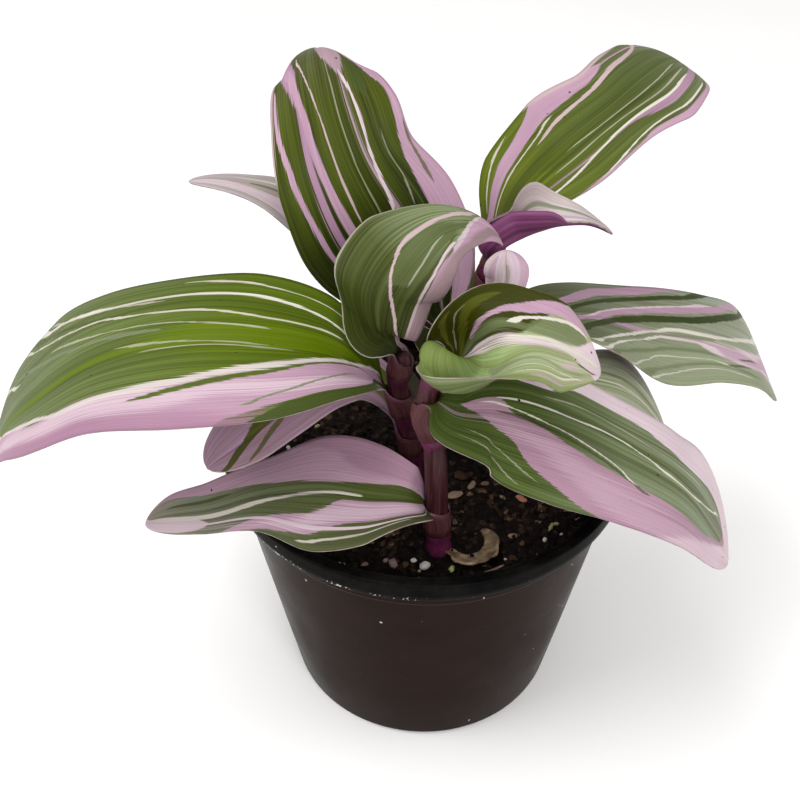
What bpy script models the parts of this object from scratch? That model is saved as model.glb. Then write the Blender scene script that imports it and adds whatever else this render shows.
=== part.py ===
"""A striped-leaf tradescantia rooted in a small round plastic nursery pot.

Lengths in the tables are millimetres. The pot stands on z = 0 with its axis on the z axis,
and the front of the plant faces -y.
"""
import math

import bmesh
import bpy
import numpy as np
from mathutils import Vector, noise

MM = 0.001
POT_HEIGHT = 76.0
POT_FOOT = 36.0          # outside radius at the floor
POT_NECK = 47.5          # outside radius of the wall just under the lip
LIP_RADIUS = 50.0
LIP_BAND = 5.0           # height of the turned-down lip
POT_WALL = 1.2
POT_FLOOR = 1.6
SOIL_TOP = 67.0
GAP = 0.4               # clearance between neighbouring pieces
LEAF_THICK = 0.8
SHEATH_BEND = 167.5      # each half of a leaf's sheath bends this far round its stem
SHEATH_OFF = 1.0         # from the stem's skin to the middle of the sheath's wall
LEAF_ACROSS = 8
LEAF_ALONG = 13          # rows from the sheath's rim to the tip
RIM_RISE = 1.6           # how far above the sheath its rim has opened out
RIM_BEND = 80.0
ROOT_DEPTH = 7.5
SLANTED = ("leaf_funnel",)  # leaves whose rows slant back from the midrib instead of crossing it squarely

# Stems: centre points from the foot up, then the radius at each point.
STEMS = {
    "stem_front": ([(3, -30, 59.5), (2, -30, 78), (1, -30, 98), (-1, -29.5, 111), (1, -29.2, 118),
                    (3.4, -28.7, 121.6)], [2.7, 2.6, 2.5, 2.3, 2.1, 1.7]),
    "stem_left": ([(-2, -11, 59.5), (-3, -11, 76), (-5, -11, 90), (-7, -12, 101), (-6, -13, 108),
                   (-5.7, -13.3, 110.6)], [2.7, 2.6, 2.5, 2.4, 2.2, 1.8]),
    "stem_back": ([(3, 6, 59.5), (3, 5, 76), (4, 4, 92), (5, 3, 106), (6.5, 1.5, 112.5)],
                  [2.7, 2.6, 2.5, 2.3, 1.8]),
    "stem_right": ([(15, 4, 59.5), (14, 5, 78), (13, 6, 96), (13.5, 7, 112), (14, 7.4, 119), (15, 7.6, 123.8)],
                   [2.8, 2.8, 2.7, 2.5, 2.3, 1.7]),
}

# Leaves: stem, height of the sheath's two ends, heading in degrees, ripple of the margins
# (height, waves along the leaf, phase), then rows from the sheath to the tip. Each row holds the
# midrib's x, y, z, the way the upper face looks, the half widths left and right of the midrib,
# and how many degrees each half bends up.
LEAVES = {
    "leaf_left_low": ("stem_front", (73, 79), 185, (0.8, 1.5, 0.5), [
        (-4, -33, 85, 0.4, -0.3, 1, 8, 8, 60, 60),
        (-13, -33, 86, 0, -0.25, 1, 13, 13, 25, 25),
        (-24, -32, 87, 0, -0.3, 1, 15, 14, 8, 8),
        (-36, -31, 85, 0, -0.25, 1, 10, 10, 0, 0),
        (-50, -30, 79, -0.2, -0.2, 1, 6.5, 7, 8, 8),
        (-60, -29, 76, -0.2, -0.2, 1, 4.5, 5, 10, 10),
        (-65, -28, 73, -0.3, -0.1, 1, 0, 0, 15, 15)]),
    "leaf_right_low": ("stem_front", (102, 110), -30, (0.8, 1.5, 1.0), [
        (6, -35.5, 113.5, -0.2, -0.35, 1, 7, 9.5, 30, 10),
        (12, -35.5, 113.5, 0, -0.5, 1, 13, 14, 15, 0),
        (25, -36, 110, 0.1, -0.3, 1, 16, 17.5, -10, -10),
        (39, -36, 102, 0.3, -0.3, 1, 15, 15.5, -15, -15),
        (54, -36, 91, 0.5, -0.3, 1, 16.5, 13.5, -12, -12),
        (63, -35, 78, 0.8, -0.3, 0.8, 19.5, 9.5, -5, -5),
        (69, -34, 67, 0.9, -0.3, 0.6, 0, 0, 0, 0)]),
    "leaf_funnel": ("stem_front", (118, 120.5), -25, (0, 2, 0), [
        (10, -29.5, 123.5, -1, -0.15, 0.05, 15, 19, 145, 170),
        (14, -31.5, 127, -1, -0.15, 0.1, 18, 24, 135, 145),
        (19, -32.5, 128, -0.5, -0.1, 0.8, 13, 13, 75, 35),
        (26, -32.5, 126, 0.2, -0.35, 0.9, 9.5, 9, 30, -10),
        (34, -31, 119.5, 0.8, -0.3, 0.6, 0, 0, 0, 0)]),
    "leaf_left_behind": ("stem_left", (80, 85), 140, (0, 2, 0), [
        (-9, -5.5, 90.5, 0.4, -0.3, 1, 5.5, 5.5, 50, 50),
        (-16, -4, 95.5, 0.2, -0.2, 1, 7, 9, 25, 25),
        (-24, -7.5, 97, 0, -0.2, 1, 8, 12, 8, 8),
        (-33.5, -15.5, 95, -0.2, -0.2, 1, 8, 13, 0, 0),
        (-42.5, -23, 92, -0.4, -0.2, 1, 7.5, 10.5, 0, 0),
        (-49, -28, 90, -0.5, -0.3, 1, 0, 0, 0, 0)]),
    "leaf_left_big": ("stem_left", (92, 97), 195, (0.8, 1.5, 0), [
        (-13, -15, 106, 0.5, -0.2, 1, 6, 6, 50, 50),
        (-21, -19, 115, 0.3, -0.25, 1, 13, 14, 20, 20),
        (-34, -22, 120, 0.1, -0.25, 1, 19, 19, 0, 0),
        (-52, -22, 120, -0.1, -0.2, 1, 21, 23, -12, -12),
        (-71, -22, 114, -0.4, -0.2, 1, 17.5, 25, -12, -12),
        (-85, -22, 104, -0.6, -0.2, 1, 13.5, 26, -8, -8),
        (-94, -21, 95, -0.8, -0.2, 0.8, 8.5, 18.5, -4, -4),
        (-99, -21, 86, -0.9, -0.2, 0.7, 0, 0, 0, 0)]),
    "leaf_hood": ("stem_left", (105, 109), 150, (0, 2, 0), [
        (-9.3, -13, 114.5, 0.2, -0.85, 0.4, 5, 3.5, 60, 60),
        (-11.5, -18, 121.5, -0.35, -0.8, 0.5, 8.5, 9.5, -10, -10),
        (-11, -21, 133, -0.1, -0.75, 0.6, 12.5, 12.5, -50, -50),
        (-6, -20, 141, -0.1, -0.6, 0.8, 13.5, 12.5, -50, -50),
        (1, -16, 145, 0.1, -0.4, 1, 8, 9.5, -40, -40),
        (9, -12, 143, 0.5, -0.2, 0.9, 4, 5, -30, -30),
        (15, -8, 135, 0.9, 0, 0.4, 0, 0, -10, -10)]),
    "leaf_far_left": ("stem_back", (68.5, 73), 150, (0, 2, 0), [
        (-5, 11, 80, 0.5, 0.2, 1, 6, 6, 50, 50),
        (-16, 18, 106, 0.6, 0, 1, 9, 9, 20, 20),
        (-32, 22, 127.5, 0.4, 0, 1, 10, 10, 0, 0),
        (-43, 22, 132.5, 0, 0.2, 1, 8, 8, 0, 0),
        (-55, 22, 133.5, -0.2, 0.2, 1, 0, 0, 0, 0)]),
    "leaf_right_under": ("stem_right", (79, 83.5), -30, (0, 2, 0), [
        (20, 0, 90, -0.4, 0, 1, 5.5, 6, 50, 50),
        (28, -4.5, 95, -0.2, 0, 1, 12, 12, 20, 20),
        (36, -7, 95.5, 0.1, 0, 1, 15.5, 15, 0, 0),
        (47, -8, 92, 0.4, -0.1, 1, 18.5, 14, -8, -8),
        (58, -8, 80, 0.8, -0.1, 0.8, 0, 0, -5, -5)]),
    "leaf_back_left": ("stem_back", (81, 86), 100, (0.6, 1.5, 0), [
        (3, 12, 92, 0.1, -0.6, 1, 6, 6, 50, 50),
        (2, 22, 101, 0, -0.2, 1, 10, 10, 20, 20),
        (0, 35, 106, -0.1, 0.1, 1, 12.5, 12.5, 0, 0),
        (-3, 50, 103, -0.1, 0.4, 1, 12, 12, -10, -10),
        (-6, 62, 93, -0.1, 0.8, 0.8, 8, 8, -8, -8),
        (-8, 69, 83, -0.1, 1, 0.4, 0, 0, 0, 0)]),
    "leaf_tall": ("stem_back", (94, 100), 110, (1.2, 1.5, 0), [
        (2, 9, 106, 0, -1, 0.5, 7, 7, 50, 50),
        (-3, 10, 117, 0.1, -1, 0.4, 16, 15.5, 25, 25),
        (-10, 11, 129, 0.1, -1, 0.5, 20, 17.8, 8, 8),
        (-17, 14, 142, 0.1, -1, 0.6, 17.5, 14.8, 0, 0),
        (-21, 19, 152, 0, -0.9, 0.9, 14, 14.5, -15, -18),
        (-23.5, 26, 161, 0, -0.5, 1, 12, 10.5, -55, -65),
        (-25, 36, 159, 0, 0.3, 1, 0, 0, -30, -30)]),
    "leaf_young_pale": ("stem_back", (106, 110), 0, (0, 2, 0), [
        (14, 0, 114, -0.7, -0.2, 0.6, 4, 4, 50, 50),
        (17, 0, 120, -0.4, -0.6, 0.6, 5, 5, 20, 20),
        (17, 1, 125, -0.1, -0.6, 0.7, 4.5, 4.5, 0, 0),
        (17, 3, 127, 0, -0.3, 1, 0, 0, 0, 0)]),
    "leaf_back_right": ("stem_right", (70, 75), 45, (0.5, 1.5, 0), [
        (20.5, 11.5, 80, -0.4, -0.4, 1, 5, 5, 50, 50),
        (27, 19, 90, 0, -0.1, 1, 9, 9, 20, 20),
        (36, 30, 90, 0.2, 0.2, 1, 10.5, 10.5, 0, 0),
        (44, 42, 83, 0.4, 0.4, 1, 8, 8, -8, -8),
        (50, 51, 73, 0.6, 0.6, 0.6, 0, 0, 0, 0)]),
    "leaf_right_back": ("stem_right", (90.5, 95.5), 10, (0.9, 1.5, 0), [
        (20, 8.5, 100, -0.5, 0, 1, 6, 6, 50, 50),
        (28, 11, 103, -0.3, 0, 1, 11, 11, 20, 20),
        (40, 14, 101.5, 0.1, 0, 1, 15, 15, 0, 0),
        (57, 18, 94, 0.3, -0.1, 1, 17, 17, -8, -8),
        (74, 20, 88, 0.4, -0.1, 1, 21, 13.5, -8, -8),
        (85.5, 19, 82.5, 0.6, 0, 0.9, 29, 12, -5, -5),
        (89, 18, 78, 0.85, 0, 0.6, 28, 10.5, -3, -3),
        (91, 17, 74, 1, 0, 0.4, 0, 0, 0, 0)]),
    "leaf_top_right": ("stem_right", (113, 117), 75, (1.2, 1.5, 0), [
        (17.5, 19.5, 123.8, -0.5, -0.6, 1, 5.5, 4.5, 50, 30),
        (22.5, 24, 130.5, -0.4, -0.6, 1, 12.5, 10, 20, 20),
        (32, 26.5, 140, -0.3, -0.6, 1, 15.5, 12, 0, 0),
        (43, 31.5, 147.5, -0.2, -0.4, 1, 13.5, 12, -8, -8),
        (50.5, 37.5, 151, 0.1, -0.2, 1, 14, 14.5, -8, -8),
        (56.5, 42.5, 152.5, 0.3, 0, 1, 13.5, 11.5, -12, -8),
        (61, 49, 150, 0.7, 0.4, 0.7, 0, 0, -8, -5)]),
    "leaf_young_rolled": ("stem_right", (120.4, 122), -10, (0, 2, 0), [
        (17, 6.6, 125.8, -0.6, 0, 0.8, 9, 9, 165, 165),
        (21.3, 6.7, 128.8, -0.6, 0, 0.8, 9.5, 10, 165, 165),
        (25, 7, 130.6, -0.6, -0.1, 0.8, 11.5, 9, 110, 120),
        (29.5, 8, 130.8, -0.4, 0, 0.85, 8.5, 4, 70, 60),
        (36, 9, 130.2, 0, 0.2, 1, 6, 2.5, 30, 30),
        (41.5, 9.5, 127, 0.4, 0.1, 1, 0, 0, 0, 0)]),
}


def material(name, colour, roughness, metallic=0.0):
    made = bpy.data.materials.new(name)
    made.use_nodes = True
    shader = made.node_tree.nodes["Principled BSDF"]
    shader.inputs["Base Color"].default_value = (*colour, 1)
    shader.inputs["Roughness"].default_value = roughness
    shader.inputs["Metallic"].default_value = metallic
    return made


def finish(bm, name, skin, smooth=True):
    bmesh.ops.recalc_face_normals(bm, faces=bm.faces)
    mesh = bpy.data.meshes.new(name)
    bm.to_mesh(mesh)
    bm.free()
    for face in mesh.polygons:
        face.use_smooth = smooth
    mesh.materials.append(skin)
    made = bpy.data.objects.new(name, mesh)
    bpy.context.scene.collection.objects.link(made)
    return made


def revolved(profile, steps):
    """A closed body from a profile of (radius, height) turned round the z axis."""
    bm = bmesh.new()
    verts = [bm.verts.new((r * MM, 0, z * MM)) for r, z in profile]
    closed = profile[0][0] > 0
    edges = [bm.edges.new(pair) for pair in zip(verts, verts[1:] + (verts[:1] if closed else []))]
    bmesh.ops.spin(bm, geom=verts + edges, cent=(0, 0, 0), axis=(0, 0, 1), angle=math.tau,
                   steps=steps, use_merge=True)
    bmesh.ops.remove_doubles(bm, verts=bm.verts, dist=1e-7)
    return bm


def cut(body, cutter):
    cutter.hide_render = True
    cutter.display_type = "WIRE"
    modifier = body.modifiers.new(cutter.name, "BOOLEAN")
    modifier.operation = "DIFFERENCE"
    modifier.solver = "EXACT"
    modifier.object = cutter


def rods(name, places, radius, low, high, sides, skin):
    """Upright rods of one size, all in one object."""
    bm = bmesh.new()
    for x, y in places:
        made = bmesh.ops.create_cone(bm, cap_ends=True, segments=sides, radius1=radius * MM,
                                     radius2=radius * MM, depth=(high - low) * MM)
        bmesh.ops.translate(bm, verts=made["verts"], vec=Vector((x, y, (low + high) / 2)) * MM)
    return finish(bm, name, skin, smooth=False)


def unit(v):
    return v / np.maximum(np.linalg.norm(v, axis=-1, keepdims=True), 1e-12)


def smooth_curve(points, knots, at):
    """Hermite curve through the points, read at the given knot values."""
    p = np.asarray(points, float)
    k = np.asarray(knots, float)
    step = (k[1:] - k[:-1])[:, None]
    rise = (p[1:] - p[:-1]) / step
    slope = np.empty_like(p)
    slope[1:-1] = (rise[:-1] * step[1:] + rise[1:] * step[:-1]) / (step[1:] + step[:-1])
    slope[0] = 2 * rise[0] - slope[1]
    slope[-1] = 2 * rise[-1] - slope[-2]
    i = np.clip(np.searchsorted(k, at, side="right") - 1, 0, len(k) - 2)
    s = ((at - k[i]) / (k[i + 1] - k[i]))[:, None]
    return ((1 + 2 * s) * (1 - s) ** 2 * p[i] + s * (1 - s) ** 2 * step[i] * slope[i]
            + s * s * (3 - 2 * s) * p[i + 1] + s * s * (s - 1) * step[i] * slope[i + 1])


def knots_of(points):
    return np.concatenate([[0], np.cumsum(np.linalg.norm(np.diff(points, axis=0), axis=1) ** 0.75)])


def stem_line(stem, count):
    """Centre points and radii along a stem."""
    points, radii = (np.array(part, float) for part in STEMS[stem])
    knots = knots_of(points)
    at = np.linspace(0, knots[-1], count)
    return smooth_curve(points, knots, at), smooth_curve(radii[:, None], knots, at)[:, 0]


def stem_at(stem, height):
    """Centre, direction and radius of a stem where it reaches a height, or at its top."""
    centre, radius = stem_line(stem, 400)
    i = min(max(int(np.sum(centre[:, 2] < height)), 1), 399)
    return centre[i], unit(centre[i] - centre[i - 1]), radius[i]


def leaf_surface(leaf):
    """Middle surface of a leaf, sheath first, as rows of points across."""
    stem, ends, heading, (height, waves, phase), blade = LEAVES[leaf]
    turn = math.radians(heading)
    rim = max(RIM_BEND, min(blade[0][8:10]))
    collar = ((ends[0], SHEATH_BEND), (ends[1], SHEATH_BEND),
              (ends[1] + RIM_RISE / 2, (SHEATH_BEND + rim) / 2), (ends[1] + RIM_RISE, rim))
    midrib, face, half, bend = [], [], [], []
    for level, wrap in collar:
        centre, along, radius = stem_at(stem, level)
        out = np.array([math.cos(turn), math.sin(turn), 0])
        out = unit(out - along * (out @ along))
        midrib.append(centre + out * (radius + SHEATH_OFF))
        face.append(-out)
        half.append([math.radians(wrap) * (radius + SHEATH_OFF)] * 2)
        bend.append([wrap] * 2)
    for row in blade:
        midrib.append(row[0:3])
        face.append(unit(np.array(row[3:6], float)))
        half.append(row[6:8])
        bend.append(row[8:10])
    midrib, face, half, bend = (np.array(part, float) for part in (midrib, face, half, bend))
    knots = knots_of(midrib)
    fine = np.linspace(knots[3], knots[-1], 400)
    run = np.concatenate([[0], np.cumsum(np.linalg.norm(
        np.diff(smooth_curve(midrib, knots, fine), axis=0), axis=1))])
    step = np.linspace(0, 1, LEAF_ALONG + 1)
    share = 0.5 * step + 0.5 * np.sin(math.pi / 2 * step) ** 2  # closer rows at both ends
    at = np.concatenate([knots[:3], np.interp(share * run[-1], run, fine)])
    share = np.concatenate([np.zeros(3), share])
    centre = smooth_curve(midrib, knots, at)
    ahead = smooth_curve(midrib, knots, np.minimum(at + 1e-3, knots[-1]))
    along = unit(ahead - smooth_curve(midrib, knots, np.maximum(at - 1e-3, 0)))
    up = smooth_curve(face, knots, at)
    if leaf not in SLANTED:
        up = up - along * np.sum(up * along, axis=1, keepdims=True)
    up = unit(up)
    aside = unit(np.cross(along, up))
    # Widths run through their 1.7th power, which rounds the tip.
    half = np.maximum(smooth_curve(half ** 1.7, knots, at), 0) ** (1 / 1.7)
    bend = smooth_curve(bend, knots, at)
    bend = np.radians(np.where(np.abs(bend) < 0.1, 0.1, bend))
    across = np.linspace(-1, 1, LEAF_ACROSS + 1)
    left = across < 0
    bend = np.where(left, bend[:, :1], bend[:, 1:])
    radius = np.where(left, half[:, :1], half[:, 1:]) / bend
    angle = bend * across
    ripple = height * np.abs(across) ** 1.5 * np.sin(math.tau * waves * share[:, None] + phase + 2 * left)
    ripple = ripple * np.sin(math.pi * share[:, None]) ** 0.7
    to_side = radius * np.sin(angle) - ripple * np.sin(angle)
    to_face = radius * (1 - np.cos(angle)) + ripple * np.cos(angle)
    return centre[:, None] + aside[:, None] * to_side[..., None] + up[:, None] * to_face[..., None]


def make_leaf(leaf, skin):
    points = leaf_surface(leaf)
    rows, columns = points.shape[0] - 1, points.shape[1] - 1
    bm = bmesh.new()
    bmesh.ops.create_grid(bm, x_segments=columns, y_segments=rows, size=1)
    for vert in bm.verts:
        row = round((vert.co.y + 1) / 2 * rows)
        column = round((vert.co.x + 1) / 2 * columns)
        vert.co = Vector(points[row, column]) * MM
    bmesh.ops.remove_doubles(bm, verts=bm.verts, dist=1e-6)
    bmesh.ops.triangulate(bm, faces=bm.faces)
    made = finish(bm, leaf, skin)
    thick = made.modifiers.new("thickness", "SOLIDIFY")
    thick.thickness = LEAF_THICK * MM
    thick.offset = 0
    return made


def make_stem(stem, skin):
    centre, radius = stem_line(stem, 19)
    curve = bpy.data.curves.new(stem, "CURVE")
    curve.dimensions = "3D"
    curve.bevel_depth = MM
    curve.bevel_resolution = 2
    curve.use_fill_caps = True
    line = curve.splines.new("POLY")
    line.points.add(len(centre) - 1)
    for point, place, size in zip(line.points, centre, radius):
        point.co = (*(place * MM), 1)
        point.radius = size
    line.use_smooth = True
    curve.materials.append(skin)
    made = bpy.data.objects.new(stem, curve)
    bpy.context.scene.collection.objects.link(made)
    return made


def make_pot(skin):
    slope = (POT_NECK - POT_FOOT) / (POT_HEIGHT - LIP_BAND)
    rim_in = POT_FOOT + slope * POT_HEIGHT - POT_WALL
    bottom = POT_HEIGHT - LIP_BAND
    profile = [
        (0, 0), (POT_FOOT - 1.5, 0), (POT_FOOT, 1.5), (POT_NECK, bottom),
        (POT_FOOT + slope * (POT_HEIGHT - 2.2), POT_HEIGHT - 2.2),
        (LIP_RADIUS - 1.2, POT_HEIGHT - 2.4), (LIP_RADIUS - 1.1, bottom), (LIP_RADIUS, bottom),
        (LIP_RADIUS, POT_HEIGHT - 1.2), (LIP_RADIUS - 0.8, POT_HEIGHT - 0.3),
        (LIP_RADIUS - 1.8, POT_HEIGHT), (rim_in + 0.5, POT_HEIGHT), (rim_in, POT_HEIGHT - 0.6),
        (POT_FOOT + slope * POT_FLOOR - POT_WALL, POT_FLOOR), (0, POT_FLOOR),
    ]
    pot = finish(revolved(profile, 64), "pot", skin)
    holes = [(27 * math.cos(a), 27 * math.sin(a)) for a in np.arange(8) * math.tau / 8]
    cut(pot, rods("drain_holes", holes, 3.5, -2, POT_FLOOR + 2, 16, skin))
    return pot


def make_soil(skin):
    slope = (POT_NECK - POT_FOOT) / (POT_HEIGHT - LIP_BAND)
    low = POT_FLOOR + GAP
    wall_in = POT_FOOT - POT_WALL - GAP
    edge = wall_in + slope * SOIL_TOP
    profile = [(0, low), (wall_in + slope * low, low), (edge, SOIL_TOP - 0.6)]
    profile += [(r, SOIL_TOP) for r in (43, 37, 31, 25, 19, 13, 6, 0)]
    bm = revolved(profile, 48)
    for vert in bm.verts:
        if vert.co.z > (SOIL_TOP - 0.1) * MM:
            vert.co.z += 1.1 * MM * noise.noise(vert.co * 130)
    soil = finish(bm, "soil", skin, smooth=False)
    places = [points[0][:2] for points, radii in STEMS.values()]
    cut(soil, rods("stem_holes", places, 3.9, SOIL_TOP - ROOT_DEPTH - 1.5 * GAP, SOIL_TOP + 6, 20, skin))
    return soil


for old in list(bpy.data.objects):
    bpy.data.objects.remove(old)

make_pot(material("pot_plastic", (0.022, 0.017, 0.017), 0.28))
make_soil(material("soil_dark", (0.035, 0.022, 0.016), 0.95))
stem_skin = material("stem_maroon", (0.115, 0.022, 0.055), 0.45)
for stem in STEMS:
    make_stem(stem, stem_skin)
leaf_skin = material("leaf_striped", (0.27, 0.31, 0.17), 0.42)
for leaf in LEAVES:
    make_leaf(leaf, leaf_skin)
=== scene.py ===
"""A young striped-leaf tradescantia in a small round plastic nursery pot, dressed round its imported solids."""
import math
import random

import bmesh
import bpy
import numpy as np
from mathutils import Matrix, Vector, noise


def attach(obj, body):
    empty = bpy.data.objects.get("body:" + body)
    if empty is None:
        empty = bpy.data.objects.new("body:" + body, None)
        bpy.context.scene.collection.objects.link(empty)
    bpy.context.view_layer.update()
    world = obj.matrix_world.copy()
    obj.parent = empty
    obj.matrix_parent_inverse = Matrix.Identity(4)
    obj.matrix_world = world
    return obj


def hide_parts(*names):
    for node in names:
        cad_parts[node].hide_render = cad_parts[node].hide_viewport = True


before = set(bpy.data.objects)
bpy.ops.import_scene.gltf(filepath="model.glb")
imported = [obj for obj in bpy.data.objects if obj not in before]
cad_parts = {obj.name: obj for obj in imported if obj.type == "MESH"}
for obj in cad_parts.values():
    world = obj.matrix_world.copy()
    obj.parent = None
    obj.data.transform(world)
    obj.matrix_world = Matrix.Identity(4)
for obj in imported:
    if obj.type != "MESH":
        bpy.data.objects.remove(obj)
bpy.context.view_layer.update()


# The view: close in front of the plant and above it, looking down on the pot at a slant. Large
# soft lamps and a pale room light it from all round, so its shadows stay weak.
LENS = 50
SENSOR_WIDTH = 36
CAMERA_PLACE = (-0.0064, -0.2061, 0.2592)
CAMERA_TILT = 50
ROOM_COLOUR = (1.0, 0.985, 0.965, 1)
ROOM_LIGHT = 0.66

scene = bpy.context.scene
scene.view_settings.view_transform = "Standard"
camera = bpy.data.objects.new("camera", bpy.data.cameras.new("camera"))
camera.data.lens = LENS
camera.data.sensor_width = SENSOR_WIDTH
camera.data.clip_start = 0.01
camera.location = CAMERA_PLACE
camera.rotation_euler = (math.radians(CAMERA_TILT), 0, 0)
scene.collection.objects.link(camera)
scene.camera = camera


def soft_lamp(name, place, size, watts, aim=(0, 0, 0.08)):
    lamp = bpy.data.lights.new(name, "AREA")
    lamp.shape = "SQUARE"
    lamp.size = size
    lamp.energy = watts
    stand = bpy.data.objects.new(name, lamp)
    stand.location = place
    stand.rotation_euler = (Vector(aim) - Vector(place)).to_track_quat("-Z", "Y").to_euler()
    scene.collection.objects.link(stand)


soft_lamp("lamp_front", (0.26, -0.78, 0.62), 0.40, 4.0)
soft_lamp("lamp_high_left", (-0.40, -0.10, 0.85), 0.60, 4.9)
soft_lamp("lamp_right", (0.80, 0.05, 0.30), 0.35, 0.9)
soft_lamp("lamp_left", (-0.80, -0.10, 0.25), 0.30, 0.7)
room = bpy.data.worlds.new("pale_room")
room.use_nodes = True
room.node_tree.nodes["Background"].inputs["Color"].default_value = ROOM_COLOUR
room.node_tree.nodes["Background"].inputs["Strength"].default_value = ROOM_LIGHT
scene.world = room


# The floor: a plain matt board, nearly white, a hair below the pot's foot. It carries the plant
# and isn't part of it, so it is left out of the plant's bodies.
MM = 0.001
FLOOR_REACH = 3
FLOOR_GAP = 0.3


def new_finish(name, roughness=0.5, gloss=0.5):
    finish = bpy.data.materials.new(name)
    finish.use_nodes = True
    shader = finish.node_tree.nodes["Principled BSDF"]
    shader.inputs["Roughness"].default_value = roughness
    shader.inputs["Specular IOR Level"].default_value = gloss
    return finish, finish.node_tree, shader


def place_on(tree, scale=(1, 1, 1)):
    """The point on the piece, in metres times scale."""
    point = tree.nodes.new("ShaderNodeTexCoord").outputs["Object"]
    if scale == (1, 1, 1):
        return point
    stretch = tree.nodes.new("ShaderNodeMapping")
    stretch.inputs["Scale"].default_value = scale
    tree.links.new(point, stretch.inputs["Vector"])
    return stretch.outputs["Vector"]


def mottle(tree, where, scale, detail=3.0, rough=0.55):
    """Soft cloudy noise, from 0 to 1 about a half."""
    cloud = tree.nodes.new("ShaderNodeTexNoise")
    cloud.inputs["Scale"].default_value = scale
    cloud.inputs["Detail"].default_value = detail
    cloud.inputs["Roughness"].default_value = rough
    tree.links.new(where, cloud.inputs["Vector"])
    return cloud.outputs[0]


def shades(tree, value, stops):
    """A colour read off a scale of (place, colour) stops."""
    ramp = tree.nodes.new("ShaderNodeValToRGB")
    marks = ramp.color_ramp.elements
    marks[0].position, marks[0].color = stops[0]
    marks[1].position, marks[1].color = stops[-1]
    for spot, colour in stops[1:-1]:
        marks.new(spot).color = colour
    tree.links.new(value, ramp.inputs[0])
    return ramp.outputs[0]


def set_down(bm, name, finishes, smooth=True):
    """Turns a bmesh into an object of the scene that stands at the origin."""
    mesh = bpy.data.meshes.new(name)
    bm.to_mesh(mesh)
    bm.free()
    for face in mesh.polygons:
        face.use_smooth = smooth
    for finish in finishes:
        mesh.materials.append(finish)
    piece = bpy.data.objects.new(name, mesh)
    scene.collection.objects.link(piece)
    return piece


floor_finish, tree, shader = new_finish("pale_floor", 0.9)
tree.links.new(shades(tree, mottle(tree, place_on(tree), 6), [
    (0.3, (0.96, 0.96, 0.955, 1)), (0.7, (0.98, 0.98, 0.975, 1))]), shader.inputs["Base Color"])
bm = bmesh.new()
bmesh.ops.create_grid(bm, x_segments=2, y_segments=2, size=FLOOR_REACH)
bmesh.ops.translate(bm, verts=bm.verts, vec=(0, 0, -FLOOR_GAP * MM))
set_down(bm, "floor", [floor_finish])


# The pot: thin black plastic, blow-moulded in one with a turned-down lip and eight round drain
# holes in its flat foot. Below the lip its body is painted warm brown, a painted reflection, and
# the lip is left black. Watering has left white specks of lime low on the lip.
POT_HEIGHT = 76.0
POT_FOOT = 36.0
POT_NECK = 47.5
LIP_RADIUS = 50.0
LIP_BAND = 5.0
POT_WALL = 1.2
POT_FLOOR = 1.6
WALL_SLOPE = (POT_NECK - POT_FOOT) / (POT_HEIGHT - LIP_BAND)
DRAIN_HOLES = 8
DRAIN_RING = 27
DRAIN_RADIUS = 3.5
# Browns of the body below the lip: a painted warm reflection on the black plastic.
WARM_REFLECTION_BROWNS = (0.0070, 0.0022, 0.0012, 1), (0.0160, 0.0058, 0.0030, 1)
LIP_BLACKS = (0.0010, 0.0010, 0.0010, 1), (0.0028, 0.0028, 0.0028, 1)
DUST = (0.10, 0.085, 0.07, 1)
LIME = (0.50, 0.50, 0.46, 1)
# Heights on the wall in metres, each from where a change begins to where it is full.
LIP_TURNS_BLACK = (0.0706, 0.0711)
LIME_FROM_BELOW = (0.0700, 0.0712)
LIME_FROM_ABOVE = (0.0730, 0.0716)
DUST_FROM_BELOW = (0.055, 0.0745)


def wall_at(z):
    """Outer radius of the wall at a height."""
    return POT_FOOT + WALL_SLOPE * z


def rounded(corners, facets=5):
    """An open profile whose corners (radius, height, rounding) are turned into short arcs."""
    line = []
    for i, (r, z, rounding) in enumerate(corners):
        if not rounding or i in (0, len(corners) - 1):
            line.append((r, z))
            continue
        here = Vector((r, z))
        back = Vector(corners[i - 1][:2]) - here
        on = Vector(corners[i + 1][:2]) - here
        reach = min(rounding, 0.45 * back.length, 0.45 * on.length)
        start, end = here + back.normalized() * reach, here + on.normalized() * reach
        for k in range(facets + 1):
            t = k / facets
            spot = start * (1 - t) ** 2 + here * 2 * t * (1 - t) + end * t ** 2
            line.append((spot.x, spot.y))
    return line


def turned(line, steps):
    """A body made by turning a profile (radius, height) once round the z axis."""
    bm = bmesh.new()
    verts = [bm.verts.new((r * MM, 0, z * MM)) for r, z in line]
    edges = [bm.edges.new(pair) for pair in zip(verts, verts[1:])]
    bmesh.ops.spin(bm, geom=verts + edges, cent=(0, 0, 0), axis=(0, 0, 1), angle=math.tau,
                   steps=steps, use_merge=True)
    bmesh.ops.remove_doubles(bm, verts=bm.verts, dist=1e-7)
    bmesh.ops.recalc_face_normals(bm, faces=bm.faces)
    return bm


def wire(tree, socket, value):
    """Joins a node's output to a socket, or sets the socket to a number or colour."""
    if isinstance(value, bpy.types.NodeSocket):
        tree.links.new(value, socket)
    else:
        socket.default_value = value


def reckon(tree, operation, *values):
    sum_node = tree.nodes.new("ShaderNodeMath")
    sum_node.operation = operation
    for socket, value in zip(sum_node.inputs, values):
        wire(tree, socket, value)
    return sum_node.outputs[0]


def plus(tree, first, second):
    return reckon(tree, "ADD", first, second)


def times(tree, first, second):
    return reckon(tree, "MULTIPLY", first, second)


def rescale(tree, value, low, high, to_low=0.0, to_high=1.0, way="LINEAR"):
    """Moves a value from the range low to high into another range, and holds it there."""
    gauge = tree.nodes.new("ShaderNodeMapRange")
    gauge.interpolation_type = way
    for socket, number in zip(gauge.inputs, (value, low, high, to_low, to_high)):
        wire(tree, socket, number)
    return gauge.outputs[0]


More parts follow.
